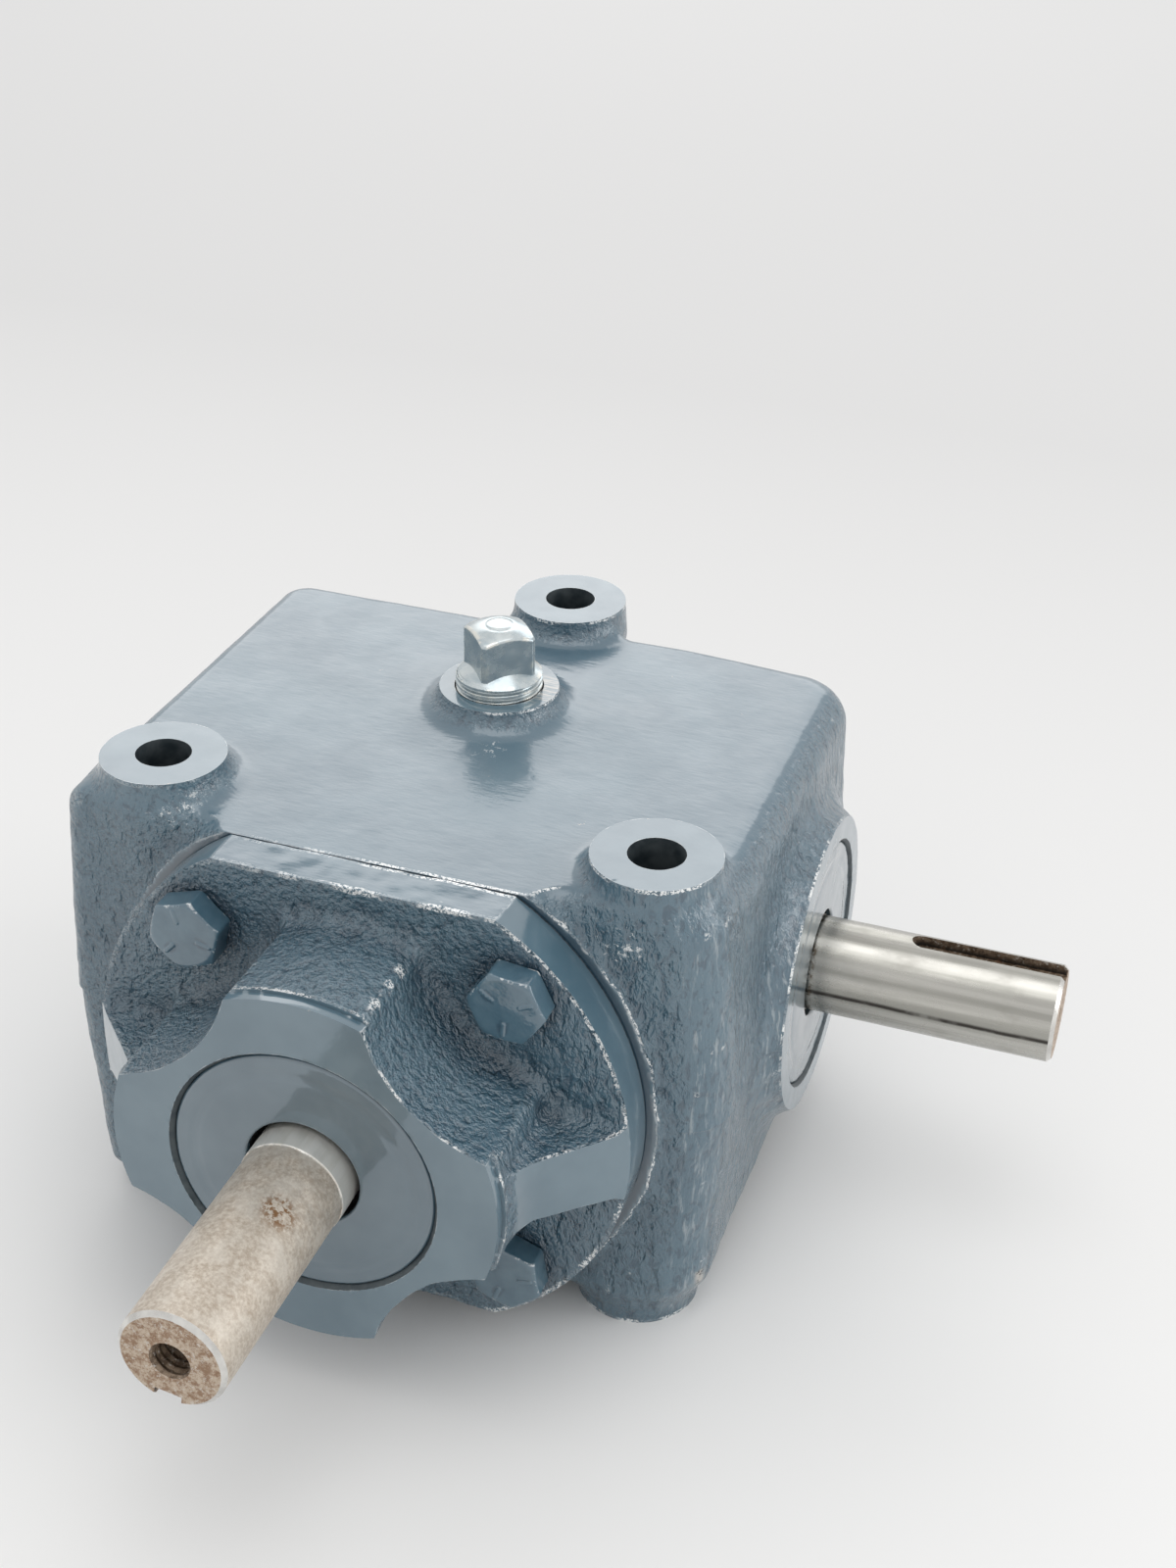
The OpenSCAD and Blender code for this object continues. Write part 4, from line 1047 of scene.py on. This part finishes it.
def shaft_fields(start, end, journal, keys, grooves, hole, thread):
    """Fields of a keyed shaft: ground walls, chamfers, end faces, keyways and end hole.

    journal is where the seal's raised track starts and ends. keys are the open keyway's angle
    and length and the closed one's angle, start and end. hole is the end hole's radius and depth.
    """
    open_key, key_l, closed_key, closed_from, closed_to = keys
    hole_r, hole_l = hole

    def ground_wall(r, z):
        mid, half = (journal[0] + journal[1]) / 2, (journal[1] - journal[0]) / 2
        past = np.abs(z - mid) - half
        track = np.maximum(np.maximum(r - JOURNAL_R, past), r - JOURNAL_R + 0.6 * (past + 0.2))
        wall = np.minimum(r - SHAFT_R, track)
        for near in grooves:
            cut = np.minimum(np.minimum(z - near, near + GROOVE - z), r - SHAFT_R + GROOVE_DEPTH)
            wall = np.maximum(wall, cut)
        return wall

    def keyways(x, y, z):
        inner = end - key_l + HALF_KEY
        depth, across = key_cut(x, y, open_key)
        round_end = np.hypot(across + HALF_KEY, np.minimum(z - inner, 0)) - HALF_KEY
        cuts = -np.maximum(round_end, -depth)
        depth, across = key_cut(x, y, closed_key)
        pocket = np.maximum(across, np.maximum(closed_from - z, z - closed_to))
        return np.maximum(cuts, -np.maximum(pocket, -depth))

    def end_hole(x, y, z, r):
        wall = hole_r - thread + 2 * thread * winding(x, y, z, THREAD_PITCH)
        mouth = np.maximum(z - end + 0.35, 0) * 0.9
        bottom = np.maximum(z - end + hole_l, 0) - np.maximum(end - hole_l - z, 0) * 1.7
        return -np.maximum(r - wall - mouth, -bottom)

    def fields(x, y, z):
        r = np.hypot(x, y)
        lip = CHAMFER + 0.06 * lattice(x, y, z, 3.0)
        half, mid = (end - start) / 2, (start + end) / 2
        chamfer = (r + np.abs(z - mid) - (SHAFT_R + half - lip)) / math.sqrt(2)
        ends = np.maximum(z - end, start - z)
        cuts = np.maximum(keyways(x, y, z), end_hole(x, y, z, r))
        return ground_wall(r, z), chamfer, ends, cuts
    return fields


GROOVE = 1.11
ACROSS = steps(-10.4, 10.4, 0.36)
SHAFT_LOOKS_AFTER = [edge_steel, end_rust, slot_rust]
in_form = shape(
    shaft_fields(17.39, 139.7, (85.87, 97.7), (-98, 32, 90, 21.56, 38.76), (84.2, 19.55), (3.3, 16), 0.16),
    (ACROSS, ACROSS, steps(16.6, 140.4, 0.6, [(83, 99, 0.3), (122, 141, 0.24)])), exact=True)
piece("input_shaft_ground", in_form, [shaft_oily] + SHAFT_LOOKS_AFTER, "input_drive", ["input_shaft"],
      turn=ALONG_INPUT)
out_form = shape(
    shaft_fields(-63.52, 115.9, (61.45, 67.5), (83, 30, 90, -38.76, -21.56), (-61.96,), (1.2, 5), 0.0),
    (ACROSS, ACROSS, steps(-64.2, 116.6, 0.7, [(60, 69, 0.3), (83, 92, 0.3), (110, 117, 0.24)])), exact=True)
piece("output_shaft_ground", out_form, [shaft_bright] + SHAFT_LOOKS_AFTER, "output_drive", ["output_shaft"],
      turn=ALONG_OUTPUT)

# -------------------- CAD nodes that keep their own shape

FINISHES = (
    ("bearing", ("_cup_", "_cone_")), ("roller", ("rollers_",)), ("cage", ("cage_",)),
    ("gear", ("bevel_",)), ("spring", ("_ring", "_shim", "_spacer", "_key", "_spring", "snap")),
)
OWN_LOOKS = {"carrier_gasket": gasket, "drain_plug": zinc, "blind_cap": paint_seal}
EDGED = ("blind_cap", "drain_plug", "bevel_gear", "bevel_pinion")
EDGE_WIDTH = 0.25
EDGE_ANGLE = math.radians(32)


def look_for(name):
    """The material of a carried-over node, from its name."""
    if name in OWN_LOOKS:
        return OWN_LOOKS[name]
    if "_lip" in name:
        return rubber
    return next((INNER[key] for key, marks in FINISHES if any(m in name for m in marks)), None)


def dress(name, obj):
    """Gives a carried-over CAD node its material, and the nodes in EDGED a small rounding of their edges."""
    look = look_for(name)
    for slot in obj.material_slots:
        slot.material = look
    if not obj.material_slots:
        obj.data.materials.append(look)
    if name in EDGED:
        edge = obj.modifiers.new("edge", "BEVEL")
        edge.width = EDGE_WIDTH * MM
        edge.segments = 2
        edge.limit_method = "ANGLE"
        edge.angle_limit = EDGE_ANGLE
        edge.harden_normals = False


for node_name, node_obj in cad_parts.items():
    if not node_obj.hide_render:
        dress(node_name, node_obj)

# -------------------- stage

FLOOR_FRONT = (0.89, 0.89, 0.885)
FLOOR_BACK = (0.64, 0.64, 0.64)


def floor_paper():
    """White paper, a little greyer toward the back."""
    k = Look("floor", specular=0.0)
    tone = k.math("ADD", k.axis(1), k.math("MULTIPLY", k.noise(400, 2), 0.05))
    tone = k.span(tone, -0.3, 0.45, smooth=False)
    return k.finish(k.mix(tone, FLOOR_FRONT, FLOOR_BACK), 0.9)


me = bpy.data.meshes.new("floor")
me.from_pydata([(-4, -4, 0), (4, -4, 0), (4, 6, 0), (-4, 6, 0)], [], [(0, 1, 2, 3)])
me.materials.append(floor_paper())
floor = bpy.data.objects.new("floor", me)
bpy.context.scene.collection.objects.link(floor)


def area_light(name, place, target, size, power):
    """A soft rectangular lamp in metres and watts, turned to its target."""
    data = bpy.data.lights.new(name, "AREA")
    data.shape = "RECTANGLE"
    data.size, data.size_y = size
    data.energy = power
    lamp = bpy.data.objects.new(name, data)
    lamp.location = place
    lamp.rotation_euler = (Vector(target) - Vector(place)).to_track_quat("-Z", "Y").to_euler()
    bpy.context.scene.collection.objects.link(lamp)


area_light("back_panel", (-0.35, 1.5, 0.95), (0, 0, 0.05), (1.6, 0.85), 5.8)
area_light("top_panel", (0.1, -0.2, 1.5), (0, 0, 0.0), (1.0, 1.0), 4)
area_light("right_panel", (1.3, 0.25, 0.5), (0, 0, 0.05), (0.6, 0.8), 4)

world = bpy.data.worlds.new("studio")
bpy.context.scene.world = world
world.use_nodes = True
world.node_tree.nodes["Background"].inputs[0].default_value = (1, 0.995, 0.99, 1)
world.node_tree.nodes["Background"].inputs[1].default_value = 0.88
bpy.context.scene.view_settings.view_transform = "Standard"
